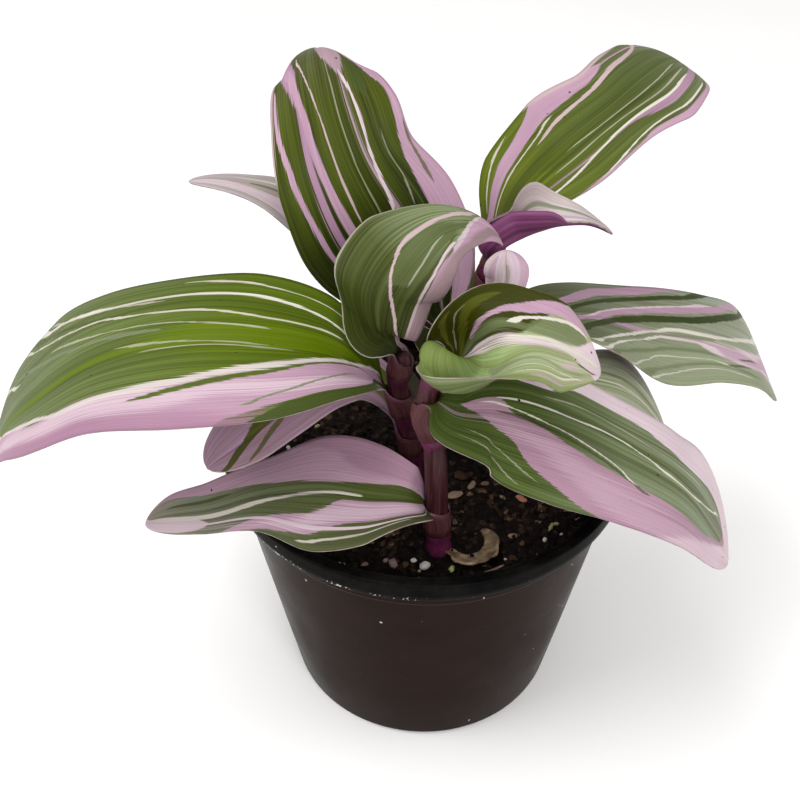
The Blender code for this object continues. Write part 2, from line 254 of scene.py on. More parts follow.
def dye(tree, share, first, second, way="MIX"):
    """The first colour with a share of the second in it."""
    bath = tree.nodes.new("ShaderNodeMix")
    bath.data_type = "RGBA"
    bath.blend_type = way
    for socket, value in zip((bath.inputs[0], bath.inputs[6], bath.inputs[7]), (share, first, second)):
        wire(tree, socket, value)
    return bath.outputs[2]


def raise_grain(tree, shader, height, distance, strength=1.0):
    bump = tree.nodes.new("ShaderNodeBump")
    bump.inputs["Distance"].default_value = distance
    bump.inputs["Strength"].default_value = strength
    tree.links.new(height, bump.inputs["Height"])
    tree.links.new(bump.outputs[0], shader.inputs["Normal"])


under_lip = POT_HEIGHT - LIP_BAND
rim_in = wall_at(POT_HEIGHT) - POT_WALL
pot_line = rounded([
    (0, 0, 0), (28, 0, 0), (wall_at(0) - 0.1, 0, 1.7), (wall_at(20), 20, 0), (wall_at(45), 45, 0),
    (wall_at(66), 66, 0.5), (wall_at(66.6) + 0.25, 66.6, 0.5), (wall_at(73.6) + 0.05, 73.6, 0.4),
    (LIP_RADIUS - 1.1, 73.4, 0.3), (LIP_RADIUS - 1.15, under_lip + 0.1, 0.35),
    (LIP_RADIUS - 0.25, under_lip, 0.5), (LIP_RADIUS, under_lip + 1.4, 0.4),
    (LIP_RADIUS - 0.1, 75.9, 1.5), (LIP_RADIUS - 1.8, 75.9, 0.5), (LIP_RADIUS - 2.0, 75.45, 0.25),
    (rim_in + 0.55, 75.5, 0.25), (rim_in + 0.5, 75.95, 0.25), (rim_in, 75.9, 0.35),
    (wall_at(68) - POT_WALL, 68, 0), (wall_at(30) - POT_WALL, 30, 0),
    (wall_at(POT_FLOOR) - POT_WALL, POT_FLOOR, 0.9), (24, POT_FLOOR, 0), (0, POT_FLOOR, 0)])

pot_finish, tree, shader = new_finish("black_plastic_warm_reflection", 0.3, 0.02)
spot_at = place_on(tree)
across, deep, high = tree.nodes.new("ShaderNodeSeparateXYZ").outputs
tree.links.new(spot_at, across.node.inputs[0])
# The body's warm brown is a painted reflection of warm light; the lip above it stays black.
body_warm_reflection = dye(tree, mottle(tree, spot_at, 45, 4), *WARM_REFLECTION_BROWNS)
lip_black = dye(tree, mottle(tree, spot_at, 140, 3), *LIP_BLACKS)
plastic = dye(tree, rescale(tree, high, *LIP_TURNS_BLACK), body_warm_reflection, lip_black)
# Lime specks: a broken line low on the lip, thickest at the front left, and a few strays.
front_left = rescale(tree, plus(tree, times(tree, across, -0.85), times(tree, deep, -0.55)), -0.005, 0.045)
low_on_lip = times(tree, rescale(tree, high, *LIME_FROM_BELOW), rescale(tree, high, *LIME_FROM_ABOVE))
speck = mottle(tree, spot_at, 1500, 2, 0.6)
patchy = rescale(tree, mottle(tree, spot_at, 130, 2), 0.36, 0.56)
lime_line = times(tree, times(tree, front_left, low_on_lip), patchy)
lime = rescale(tree, plus(tree, speck, times(tree, lime_line, 0.32)), 0.78, 0.85)
stray = rescale(tree, mottle(tree, spot_at, 560, 1, 0.4), 0.80, 0.815)
dust = rescale(tree, times(tree, mottle(tree, spot_at, 75, 5, 0.7), rescale(tree, high, *DUST_FROM_BELOW)),
               0.42, 0.75, 0.0, 0.10)
plastic = dye(tree, dust, plastic, DUST)
specks = reckon(tree, "MAXIMUM", lime, stray)
tree.links.new(dye(tree, specks, plastic, LIME), shader.inputs["Base Color"])
sheen = rescale(tree, mottle(tree, spot_at, 60, 4), 0.3, 0.7, 0.24, 0.38)
tree.links.new(reckon(tree, "MAXIMUM", sheen, times(tree, specks, 0.9)), shader.inputs["Roughness"])
rubs = mottle(tree, place_on(tree, (900, 900, 90)), 1.0, 3)
relief = plus(tree, times(tree, mottle(tree, spot_at, 28, 2), 1.6),
              plus(tree, times(tree, rubs, 0.05), times(tree, specks, 0.12)))
raise_grain(tree, shader, relief, 0.6 * MM, 0.6)

pot = set_down(turned(pot_line, 144), "nursery_pot", [pot_finish])
drill = bmesh.new()
for k in range(DRAIN_HOLES):
    turn = k * math.tau / DRAIN_HOLES
    hole_at = (DRAIN_RING * MM * math.cos(turn), DRAIN_RING * MM * math.sin(turn), 0)
    bmesh.ops.create_cone(drill, cap_ends=True, segments=28, radius1=DRAIN_RADIUS * MM,
                          radius2=DRAIN_RADIUS * MM, depth=8 * MM, matrix=Matrix.Translation(hole_at))
drill_bits = set_down(drill, "drill_bits", [], smooth=False)
holes = pot.modifiers.new("drain_holes", "BOOLEAN")
holes.operation = "DIFFERENCE"
holes.solver = "EXACT"
holes.object = drill_bits
bpy.context.view_layer.update()
drilled = bpy.data.meshes.new_from_object(pot.evaluated_get(bpy.context.evaluated_depsgraph_get()))
pot.modifiers.clear()
pot.data = drilled
bpy.data.objects.remove(drill_bits)
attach(pot, "root")
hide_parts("pot")


# The potting mix: dark moist peat that fills the pot from its floor to a little below the lip,
# with its surface left crumbly by watering.
SOIL_TOP = 67.0
SOIL_FOOT = 2.0
SOIL_GAP = 0.12
SOIL_RINGS = 50
RING_STEP = 0.9


def peat_rise(x, y):
    """How far the soil's surface stands above or below its level, in mm."""
    spot = Vector((x, y, 0))
    rise = 1.3 * noise.noise(spot * 0.085) + 0.9 * noise.noise(spot * 0.27 + Vector((5, 1, 2)))
    rise += 0.55 * noise.noise(spot * 0.75 + Vector((2, 7, 4))) + 0.3 * noise.noise(spot * 1.7)
    return rise - 0.3


def peat_finish(name, dark, mid, light, grain=1.0):
    """Crumbs in three tones, finer as grain grows, moist in some places and dry in others."""
    finish, tree, shader = new_finish(name, 0.85, 0.12)
    spot_at = place_on(tree)
    flecks = tree.nodes.new("ShaderNodeTexVoronoi")
    flecks.inputs["Scale"].default_value = 900 * grain
    tree.links.new(spot_at, flecks.inputs["Vector"])
    tone = tree.nodes.new("ShaderNodeSeparateColor")
    tree.links.new(flecks.outputs["Color"], tone.inputs[0])
    colour = shades(tree, tone.outputs[0], [(0.0, dark), (0.55, mid), (0.8, mid), (1.0, light)])
    fine = mottle(tree, spot_at, 2600 * grain, 3, 0.7)
    shadow = shades(tree, fine, [(0.3, (0.45, 0.45, 0.45, 1)), (0.75, (1.5, 1.5, 1.5, 1))])
    tree.links.new(dye(tree, 1.0, colour, shadow, "MULTIPLY"), shader.inputs["Base Color"])
    wet = rescale(tree, mottle(tree, spot_at, 420, 3), 0.35, 0.7, 0.5, 0.95)
    tree.links.new(wet, shader.inputs["Roughness"])
    relief = plus(tree, fine, times(tree, mottle(tree, spot_at, 800 * grain, 4), 2))
    raise_grain(tree, shader, relief, 0.5 * MM, 0.8)
    return finish


peat = peat_finish(
    "dark_peat", (0.0028, 0.0017, 0.0013, 1), (0.0105, 0.0062, 0.0044, 1), (0.05, 0.030, 0.020, 1))
soil_line = [
    (0, SOIL_FOOT), (wall_at(2) - POT_WALL - 0.3, SOIL_FOOT), (wall_at(64) - POT_WALL - SOIL_GAP, 64)]
for k in range(SOIL_RINGS):
    soil_line.append((wall_at(SOIL_TOP) - POT_WALL - SOIL_GAP - RING_STEP * k, SOIL_TOP))
bm = turned(soil_line + [(0, SOIL_TOP)], 210)
for vert in bm.verts:
    if vert.co.z > (SOIL_TOP - 0.5) * MM:
        vert.co.z += peat_rise(vert.co.x / MM, vert.co.y / MM) * MM
soil = set_down(bm, "potting_mix", [peat])
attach(soil, "root")
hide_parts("soil")


# What lies on the mix: crumbs of peat, chips of bark and grains of white perlite, sunk in it by
# watering, with a few slivers and green bits that fell from the plant.
STEM_FEET = [(3, -30), (-2, -11), (3, 6), (15, 4)]
STEM_CLEAR = 2.4
SCATTER_REACH = 44.6
SOIL_REACH = 45.2


def lump(bm, place, sizes, turn, jag, dice, facets=1):
    """One rough grain, with its corners knocked about by jag."""
    lie = Matrix.Translation(place) @ Matrix.Rotation(turn, 4, "Z")
    lie = lie @ Matrix.Rotation(dice.uniform(-0.5, 0.5), 4, "X") @ Matrix.Diagonal((*sizes, 1))
    made = bmesh.ops.create_icosphere(bm, subdivisions=facets, radius=MM, matrix=lie)
    for vert in made["verts"]:
        vert.co += Vector([dice.uniform(-jag, jag) * size * MM for size in sizes])


def lay_on_soil(bm, name, finish):
    piece = set_down(bm, name, [finish], smooth=False)
    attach(piece, "root")


def scatter(name, finish, count, low, high, seed, flat=0.75, jag=0.28):
    """Many grains strewn all over the mix, clear of the stems, most of them near the low size."""
    dice = random.Random(seed)
    bm = bmesh.new()
    laid = 0
    while laid < count:
        away = SCATTER_REACH * math.sqrt(dice.random())
        turn = dice.uniform(0, math.tau)
        x, y = away * math.cos(turn), away * math.sin(turn)
        size = low + (high - low) * dice.random() ** 2.4
        to_stem = min(math.hypot(x - a, y - b) for a, b in STEM_FEET)
        if away + size > SOIL_REACH or to_stem < STEM_CLEAR + size:
            continue
        place = Vector((x, y, SOIL_TOP + peat_rise(x, y) + size * dice.uniform(-0.1, 0.35))) * MM
        sizes = (size * dice.uniform(0.8, 1.3), size * dice.uniform(0.5, 0.9),
                 size * flat * dice.uniform(0.6, 1))
        lump(bm, place, sizes, dice.uniform(0, math.tau), jag, dice)
        laid += 1
    lay_on_soil(bm, name, finish)


scatter("peat_crumbs", peat, 1500, 0.35, 1.5, 11)
bark = peat_finish(
    "reddish_bark", (0.014, 0.007, 0.004, 1), (0.060, 0.030, 0.016, 1), (0.17, 0.10, 0.06, 1), 0.7)
scatter("bark_chips", bark, 260, 0.4, 2.1, 12, 0.5)
straw = peat_finish(
    "pale_fibre", (0.06, 0.04, 0.025, 1), (0.17, 0.12, 0.08, 1), (0.30, 0.22, 0.16, 1), 0.8)
scatter("pale_fibres", straw, 80, 0.3, 1.1, 13, 0.5)


def bits(name, finish, places, seed, facets=2, jag=0.13):
    """Single grains laid at (x, y, length, breadth, height, turn in degrees)."""
    dice = random.Random(seed)
    bm = bmesh.new()
    for x, y, long, wide, tall, turn in places:
        place = Vector((x, y, SOIL_TOP + peat_rise(x, y) + 0.35 * tall)) * MM
        lump(bm, place, (long / 2, wide / 2, tall / 2), math.radians(turn), jag, dice, facets)
    lay_on_soil(bm, name, finish)


def plain_bits(name, light, dark, scale):
    finish, tree, shader = new_finish(name, 0.8)
    tint = dye(tree, mottle(tree, place_on(tree), scale, 4), dark, light)
    tree.links.new(tint, shader.inputs["Base Color"])
    raise_grain(tree, shader, mottle(tree, place_on(tree), scale * 2, 3), 0.15 * MM, 0.6)
    return finish


bits("perlite_grains", plain_bits("white_perlite", (0.93, 0.92, 0.88, 1), (0.50, 0.48, 0.44, 1), 700), [
    (-0.7, -36.0, 2.5, 2.0, 2.0, 20), (-3.3, -34.4, 1.5, 1.3, 1.0, 0), (-20.6, -34.8, 1.3, 0.7, 0.6, 30),
    (-19.2, -35.4, 1.0, 0.6, 0.5, 80), (27.4, -28.4, 1.3, 1.0, 1.0, 70), (17.8, -34.0, 0.8, 0.6, 0.6, 0),
    (31.6, -26.0, 0.9, 0.7, 0.6, 40), (-31.0, -23.5, 1.2, 0.9, 0.7, 10), (33, 14, 1.6, 1.3, 1.1, 45),
    (-24, 22, 1.7, 1.4, 1.2, 15), (10, 34, 2.0, 1.6, 1.3, 60), (-35, 4, 1.3, 1.1, 0.9, 90),
    (22, 24, 1.2, 1.0, 0.9, 10), (-12, 38, 1.1, 0.9, 0.8, 33)], 21)
bits("pink_grain", plain_bits("pink_grey_stone", (0.42, 0.31, 0.31, 1), (0.10, 0.06, 0.06, 1), 420), [
    (-8.0, -35.6, 2.8, 2.3, 1.8, 110), (-9.7, -34.2, 1.6, 1.2, 1.0, 30)], 22)
bits("green_bits", plain_bits("leaf_scrap_green", (0.50, 0.52, 0.20, 1), (0.15, 0.19, 0.05, 1), 500), [
    (5.4, -37.0, 1.9, 1.3, 1.2, 80), (-2.3, -39.5, 1.2, 0.9, 0.8, 90), (-2.0, -37.6, 0.8, 0.7, 0.6, 0),
    (-17.8, -36.6, 1.8, 1.0, 0.7, -20), (29.3, -24.2, 2.9, 1.0, 1.0, 65), (30.6, -23.2, 1.6, 0.9, 1.0, 10),
    (-28, 12, 1.8, 0.9, 0.7, 30)], 23)
bits("slivers", plain_bits("pink_brown_sliver", (0.46, 0.30, 0.26, 1), (0.13, 0.06, 0.05, 1), 420), [
    (10.2, -39.0, 4.4, 1.3, 0.7, 35), (14.8, -36.9, 6.5, 0.5, 0.4, 27), (-15.6, -38.0, 4.2, 0.8, 0.5, -28),
    (35.4, -18.2, 5.4, 0.9, 0.6, 8), (-14.5, -35.0, 1.8, 1.2, 0.8, 20), (36.5, -20.6, 2.6, 0.5, 0.5, 25)], 24)
bits("orange_chips", plain_bits("orange_bark", (0.50, 0.22, 0.11, 1), (0.20, 0.075, 0.035, 1), 380), [
    (22.0, -35.3, 3.9, 1.6, 1.0, 48), (23.2, -14.3, 3.2, 1.5, 1.0, -38), (-30, -14, 2.2, 1.1, 0.7, 70),
    (30, 20, 2.4, 1.2, 0.8, 20)], 25)
bits("tan_chips", plain_bits("tan_bark", (0.33, 0.23, 0.15, 1), (0.10, 0.06, 0.035, 1), 380), [
    (6.8, -13.8, 4.2, 2.0, 1.2, 22), (11.3, -9.6, 3.4, 1.6, 1.2, 60), (20, -27, 2.4, 1.4, 0.9, 0),
    (-6, 27, 3.6, 1.7, 1.0, 140), (-38, -8, 2.6, 1.2, 0.8, 80)], 26)


# A curl of old leaf by the front stem, dried to a thin crisp strip. It lies round a small hollow
# in the mix, with a ragged outer edge that stands up.
CURL_CENTRE = (9.6, -29.0)
CURL_STARTS = 196
CURL_SWEEP = 212
CURL_REACH = 4.4
CURL_THICK = 0.45

curl_finish, tree, shader = new_finish("dry_leaf_curl", 0.75)
grain_at = place_on(tree)
tree.links.new(shades(tree, mottle(tree, grain_at, 330, 5, 0.65), [
    (0.3, (0.035, 0.020, 0.010, 1)), (0.5, (0.16, 0.105, 0.055, 1)), (0.62, (0.30, 0.215, 0.125, 1)),
    (0.8, (0.46, 0.36, 0.24, 1))]), shader.inputs["Base Color"])
raise_grain(tree, shader, mottle(tree, grain_at, 900, 4), 0.3 * MM, 0.8)
bm = bmesh.new()
bmesh.ops.create_grid(bm, x_segments=36, y_segments=10, size=1)
for vert in bm.verts:
    along, out = (vert.co.x + 1) / 2, (vert.co.y + 1) / 2
    turn = math.radians(CURL_STARTS + CURL_SWEEP * along)
    ragged = 0.9 * noise.noise(Vector((along * 11, out * 2, 3)))
    breadth = (0.4 + 3.9 * math.sin(math.pi * along ** 0.8) ** 0.7)
    away = CURL_REACH + (out - 0.3) * breadth + (0.9 * out + 0.3) * ragged
    x, y = CURL_CENTRE[0] + away * math.cos(turn) * 1.05, CURL_CENTRE[1] + away * math.sin(turn) * 1.18
    lift = 0.5 + 2.3 * out ** 2.2 * math.sin(math.pi * along) ** 0.8 - 0.4 * (1 - out) + 0.35 * ragged
    vert.co = Vector((x, y, SOIL_TOP + 0.6 * peat_rise(x, y) + max(lift, 0.1))) * MM
bmesh.ops.recalc_face_normals(bm, faces=bm.faces)
curl = set_down(bm, "old_leaf_curl", [curl_finish])
skin = curl.modifiers.new("thickness", "SOLIDIFY")
skin.thickness = CURL_THICK * MM
skin.offset = 0
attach(curl, "root")


# Stems: four fleshy upright shoots, dark maroon with fine long streaks, rooted in the mix. Each is
# swollen and magenta at its joints, where a leaf's sheath grows round it.
STEM_ROWS = 120
STEM_SIDES = 28
SWELLING = 0.42
FOOT_SWELLING = 0.5
STREAK_PINK = (0.20, 0.075, 0.085, 1)
stem_ways = {}


def smooth_curve(points, knots, at):
    """Hermite curve through the points, read at the given knot values."""
    p = np.asarray(points, float)
    k = np.asarray(knots, float)
    step = (k[1:] - k[:-1])[:, None]
    rise = (p[1:] - p[:-1]) / step
    slope = np.empty_like(p)
    slope[1:-1] = (rise[:-1] * step[1:] + rise[1:] * step[:-1]) / (step[1:] + step[:-1])
    slope[0] = 2 * rise[0] - slope[1]
    slope[-1] = 2 * rise[-1] - slope[-2]
    i = np.clip(np.searchsorted(k, at, side="right") - 1, 0, len(k) - 2)
    s = ((at - k[i]) / (k[i + 1] - k[i]))[:, None]
    return ((1 + 2 * s) * (1 - s) ** 2 * p[i] + s * (1 - s) ** 2 * step[i] * slope[i]
            + s * s * (3 - 2 * s) * p[i + 1] + s * s * (s - 1) * step[i] * slope[i + 1])


def knots_of(points):
    return np.concatenate([[0], np.cumsum(np.linalg.norm(np.diff(points, axis=0), axis=1) ** 0.75)])


def unit(v):
    return v / np.maximum(np.linalg.norm(v, axis=-1, keepdims=True), 1e-12)


stem_finish, tree, shader = new_finish("maroon_stem_skin", 0.4, 0.2)
glow = tree.nodes.new("ShaderNodeAttribute")
glow.attribute_name = "joint_glow"
streak = mottle(tree, place_on(tree, (1100, 1100, 45)), 1.0, 3)
thread = mottle(tree, place_on(tree, (3600, 3600, 110)), 1.0, 2)
cloudy = mottle(tree, place_on(tree), 120, 3)
maroon = shades(tree, streak, [(0.28, (0.015, 0.0035, 0.0050, 1)), (0.5, (0.040, 0.010, 0.012, 1)),
                               (0.72, (0.070, 0.024, 0.021, 1))])
magenta = shades(tree, cloudy, [(0.3, (0.050, 0.007, 0.024, 1)), (0.7, (0.120, 0.014, 0.062, 1))])
uneven_glow = plus(tree, glow.outputs["Fac"], rescale(tree, streak, 0.3, 0.7, -0.12, 0.12))
skin_colour = dye(tree, rescale(tree, uneven_glow, 0.1, 0.95), maroon, magenta)
skin_colour = dye(tree, rescale(tree, thread, 0.60, 0.72, 0.0, 0.38), skin_colour, STREAK_PINK)
tree.links.new(skin_colour, shader.inputs["Base Color"])
tree.links.new(rescale(tree, streak, 0.3, 0.7, 0.30, 0.5), shader.inputs["Roughness"])
raise_grain(tree, shader, plus(tree, streak, thread), 0.12 * MM, 0.7)


def raise_stem(name, node, points, radii, joints):
    """A shoot through its centre points, swollen just under each joint and where it leaves the mix."""
    points, radii = np.array(points, float), np.array(radii, float)
    knots = knots_of(points)
    stem_ways[node] = (points, radii, knots)
    at = np.linspace(0, knots[-1], STEM_ROWS + 1)
    centre = smooth_curve(points, knots, at)
    radius = smooth_curve(radii[:, None], knots, at)[:, 0]
    along = unit(np.gradient(centre, axis=0))
    side = unit(np.cross(along, np.array([0.0, 1.0, 0.0])))
    front = np.cross(along, side)
    height = centre[:, 2]
    bulge = sum(np.exp(-((height - joint + 0.9) / 1.5) ** 2) for joint in joints)
    waist = sum(np.exp(-((height - joint + 4.2) / 1.6) ** 2) for joint in joints)
    radius = radius + SWELLING * bulge - 0.10 * waist
    radius = radius + FOOT_SWELLING * np.exp(-((height - SOIL_TOP) / 2.2) ** 2)
    tip = np.clip((knots[-1] - at) / 2.6, 0, 1)
    radius = radius * np.sqrt(tip * (2 - tip))
    radius[0] = 0
    bright = np.clip(bulge + sum(0.55 * np.exp(-((height - joint - 1) / 4.5) ** 2) for joint in joints), 0, 1)
    bright = np.clip(bright + 0.85 * np.exp(-((height - 66) / 8.0) ** 2), 0, 1)
    bm = bmesh.new()
    glow_layer = bm.verts.layers.float.new("joint_glow")
    bmesh.ops.create_grid(bm, x_segments=STEM_SIDES, y_segments=STEM_ROWS, size=1)
    for vert in bm.verts:
        row, turn = round((vert.co.y + 1) / 2 * STEM_ROWS), vert.co.x * math.pi
        ribbed = radius[row] * (1 + 0.018 * math.sin(7 * turn + 0.05 * row))
        around = side[row] * math.cos(turn) + front[row] * math.sin(turn)
        vert[glow_layer] = bright[row]
        vert.co = Vector(centre[row] + around * ribbed) * MM
    bmesh.ops.remove_doubles(bm, verts=bm.verts, dist=1e-7)
    bmesh.ops.recalc_face_normals(bm, faces=bm.faces)
    piece = set_down(bm, name, [stem_finish])
    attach(piece, "root")
    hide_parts(node)


raise_stem("front_shoot", "stem_front", [
    (3, -30, 59.5), (2, -30, 78), (1, -30, 98), (-1, -29.5, 111), (1, -29.2, 118), (3.4, -28.7, 121.6)],
    [2.7, 2.6, 2.5, 2.3, 2.1, 1.7], (73, 102, 118))
raise_stem("left_shoot", "stem_left", [
    (-2, -11, 59.5), (-3, -11, 76), (-5, -11, 90), (-7, -12, 101), (-6, -13, 108), (-5.7, -13.3, 110.6)],
    [2.7, 2.6, 2.5, 2.4, 2.2, 1.8], (80, 92, 105))
raise_stem("back_shoot", "stem_back", [
    (3, 6, 59.5), (3, 5, 76), (4, 4, 92), (5, 3, 106), (6.5, 1.5, 112.5)],
    [2.7, 2.6, 2.5, 2.3, 1.8], (68.5, 81, 94, 106))
raise_stem("right_shoot", "stem_right", [
    (15, 4, 59.5), (14, 5, 78), (13, 6, 96), (13.5, 7, 112), (14, 7.4, 119), (15, 7.6, 123.8)],
    [2.8, 2.8, 2.7, 2.5, 2.3, 1.7], (70, 79, 90.5, 113, 120.4))


# Leaves: thin fleshy blades that clasp a stem with a short sheath. Above they are green with long
# cream, pink and lilac stripes, purple below, and a pale skin shows along the cut of their margins.
LEAF_THICK = 0.62
MARGIN_THINNER = 0.62
SHEATH_OFF = 0.42
SHEATH_BEND = 167.5
RIM_RISE = 1.6
RIM_BEND = 80.0
GROOVE_DEPTH = 0.5
SHEATH_ROWS = 9
BLADE_ROWS = 84
HALF_COLUMNS = 20
CURVE_STEPS = 400
LAMP_SHARE = 0.78
# Places on a leaf are in hundredths, of its length along it (v) and of its half width across it
# (u). A stripe that ends at LEFT or RIGHT runs off the blade past that margin.
LEFT = -130
RIGHT = 130


def paint(red, green, blue):
    """A colour from its screen values, 0 to 255, darkened a little because the lamps are bright."""
    parts = [part / 255 for part in (red, green, blue)]
    return (*(LAMP_SHARE * (((p + 0.055) / 1.055) ** 2.4 if p > 0.04 else p / 12.92) for p in parts), 1.0)


PINK = paint(196, 160, 181)
LILAC = paint(182, 144, 169)
PALE_PINK = paint(228, 209, 216)
BLUSH = paint(206, 182, 184)
CREAM = paint(208, 204, 184)
WHITE = paint(226, 222, 208)
DARK_GREEN = paint(58, 72, 22)
DEEP_GREEN = paint(74, 88, 38)
OLIVE = paint(88, 96, 42)
GREY_GREEN = paint(134, 144, 112)
FRESH_GREEN = paint(102, 124, 2)


def stem_at(stem, height):
    """Centre, direction and radius of a stem where it reaches a height, or at its top."""
    points, radii, knots = stem_ways[stem]
    at = np.linspace(0, knots[-1], CURVE_STEPS)
    centre, radius = smooth_curve(points, knots, at), smooth_curve(radii[:, None], knots, at)[:, 0]
    i = min(max(int(np.sum(centre[:, 2] < height)), 1), CURVE_STEPS - 1)
    return centre[i], unit(centre[i] - centre[i - 1]), radius[i]


def blade_sheet(stem, ends, heading, ripple, blade, slanted):
    """Middle surface of a leaf, sheath first, as rows of points, with the u and v of its map."""
    turn = math.radians(heading)
    rim = max(RIM_BEND, min(blade[0][8:10]))
    collar = ((ends[0], SHEATH_BEND), (ends[1], SHEATH_BEND),
              (ends[1] + RIM_RISE / 2, (SHEATH_BEND + rim) / 2), (ends[1] + RIM_RISE, rim))
    last = len(collar) - 1
    rows = []
    for level, wrap in collar:
        centre, along, radius = stem_at(stem, level)
        out = np.array([math.cos(turn), math.sin(turn), 0])
        out = unit(out - along * (out @ along))
        reach = math.radians(wrap) * (radius + SHEATH_OFF)
        rows.append((*(centre + out * (radius + SHEATH_OFF)), *(-out), reach, reach, wrap, wrap))
    for row in blade:
        rows.append((*row[:3], *unit(np.array(row[3:6], float)), *row[6:]))
    rows = np.array(rows, float)
    midrib, face, half, bend = rows[:, :3], rows[:, 3:6], rows[:, 6:8], rows[:, 8:]
    knots = knots_of(midrib)

    # Rows stand closer together in the sheath and at the tip.
    fine = np.linspace(knots[last], knots[-1], CURVE_STEPS)
    run = np.concatenate([[0], np.cumsum(np.linalg.norm(
        np.diff(smooth_curve(midrib, knots, fine), axis=0), axis=1))])
    step = np.linspace(0, 1, BLADE_ROWS + 1)
    share = 0.5 * step + 0.5 * np.sin(math.pi / 2 * step) ** 2
    low = np.interp(np.linspace(0, last, SHEATH_ROWS + 1)[:-1], np.arange(last + 1), knots[:last + 1])
    at = np.concatenate([low, np.interp(share * run[-1], run, fine)])
    v = np.concatenate([np.linspace(-0.12, 0, SHEATH_ROWS + 1)[:-1], step])
    share = np.concatenate([np.zeros(SHEATH_ROWS), share])

    centre = smooth_curve(midrib, knots, at)
    ahead = smooth_curve(midrib, knots, np.minimum(at + 1e-3, knots[-1]))
    along = unit(ahead - smooth_curve(midrib, knots, np.maximum(at - 1e-3, 0)))
    up = smooth_curve(face, knots, at)
    if not slanted:
        up = up - along * np.sum(up * along, axis=1, keepdims=True)
    up = unit(up)
    aside = unit(np.cross(along, up))
    half = np.maximum(smooth_curve(half ** 1.7, knots, at), 0) ** (1 / 1.7)
    bend = np.clip(smooth_curve(bend, knots, at), -179, 200)
    bend = np.radians(np.where(np.abs(bend) < 0.1, 0.1, bend))

    # Columns stand closer together at the midrib. Each half of a row is an arc of its own bend.
    even = np.linspace(-1, 1, 2 * HALF_COLUMNS + 1)
    u = even * (0.55 + 0.45 * np.abs(even))
    left = u < 0
    bend = np.where(left, bend[:, :1], bend[:, 1:])
    radius = np.where(left, half[:, :1], half[:, 1:]) / bend
    angle = bend * u
    height, waves, phase = ripple
    wave = height * np.abs(u) ** 1.5 * np.sin(math.tau * waves * share[:, None] + phase + 2 * left)
    lift = wave * np.sin(math.pi * share[:, None]) ** 0.7
    # The midrib lies in a shallow groove that dies out before the tip.
    groove = GROOVE_DEPTH * np.exp(-(u / 0.07) ** 2)
    lift = lift - groove * (np.sin(math.pi * np.clip(share, 0.02, 0.98)) ** 0.5)[:, None]
    to_side = (radius - lift) * np.sin(angle)
    to_face = radius * (1 - np.cos(angle)) + lift * np.cos(angle)
    return centre[:, None] + aside[:, None] * to_side[..., None] + up[:, None] * to_face[..., None], u, v


def leaf_map(tree):
    """The place across (-1 to 1) and along (0 to 1) a leaf, from the map that each leaf carries."""
    sheet = tree.nodes.new("ShaderNodeUVMap")
    sheet.uv_map = "leaf_map"
    parts = tree.nodes.new("ShaderNodeSeparateXYZ")
    tree.links.new(sheet.outputs[0], parts.inputs[0])
    return reckon(tree, "MULTIPLY_ADD", parts.outputs[0], 2.0, -1.0), parts.outputs[1]


def long_grain(tree, u, v, wide, long, seed, detail=2.0):
    """Noise drawn out along the leaf, as its veins run."""
    joined = tree.nodes.new("ShaderNodeCombineXYZ")
    for socket, value in zip(joined.inputs, (times(tree, u, wide), times(tree, v, long), float(seed))):
        wire(tree, socket, value)
    return mottle(tree, joined.outputs[0], 1.0, detail)


def edge_curve(tree, v, spots):
    """The u of a stripe's edge along the leaf, through (v, u) spots."""
    bent = tree.nodes.new("ShaderNodeFloatCurve")
    bent.mapping.use_clip = False
    bent.mapping.extend = "HORIZONTAL"
    edge = bent.mapping.curves[0].points
    edge[0].location, edge[1].location = spots[0], spots[-1]
    for spot in spots[1:-1]:
        edge.new(*spot)
    for point in edge:
        point.handle_type = "AUTO_CLAMPED"
    bent.mapping.update()
    tree.links.new(v, bent.inputs["Value"])
    return bent.outputs[0]


def patch(colour, spots, soft=3, strength=1.0):
    """A stripe given by (v, left edge, right edge), whose edges fade over a width of soft."""
    return colour, soft / 100, strength, [(v / 100, a / 100, b / 100) for v, a, b in spots]


def border(colour, side, spots, soft=3, strength=1.0):
    """A stripe that fills the leaf from its LEFT or RIGHT margin to (v, inner edge)."""
    return patch(colour, [(v, *sorted((side, u))) for v, u in spots], soft, strength)


def line(colour, half, spots, soft=None, strength=1.0):
    """A narrow stripe given by (v, middle) or (v, middle, half width), tapered at both ends."""
    spots = [(*spot, half) if len(spot) == 2 else spot for spot in spots]
    tips = []
    for end, neighbour, inward in ((spots[0], spots[1], 2), (spots[-1], spots[-2], -2)):
        tips.append((*end[:2], 0))
        tips.append((end[0] + inward, end[1] * 0.85 + neighbour[1] * 0.15, end[2] * 0.7))
    every = [tips[0], tips[1], *spots[1:-1], tips[3], tips[2]]
    edges = [(v, u - h, u + h) for v, u, h in every]
    return patch(colour, edges, soft or max(half * 0.8, 0.8), strength)


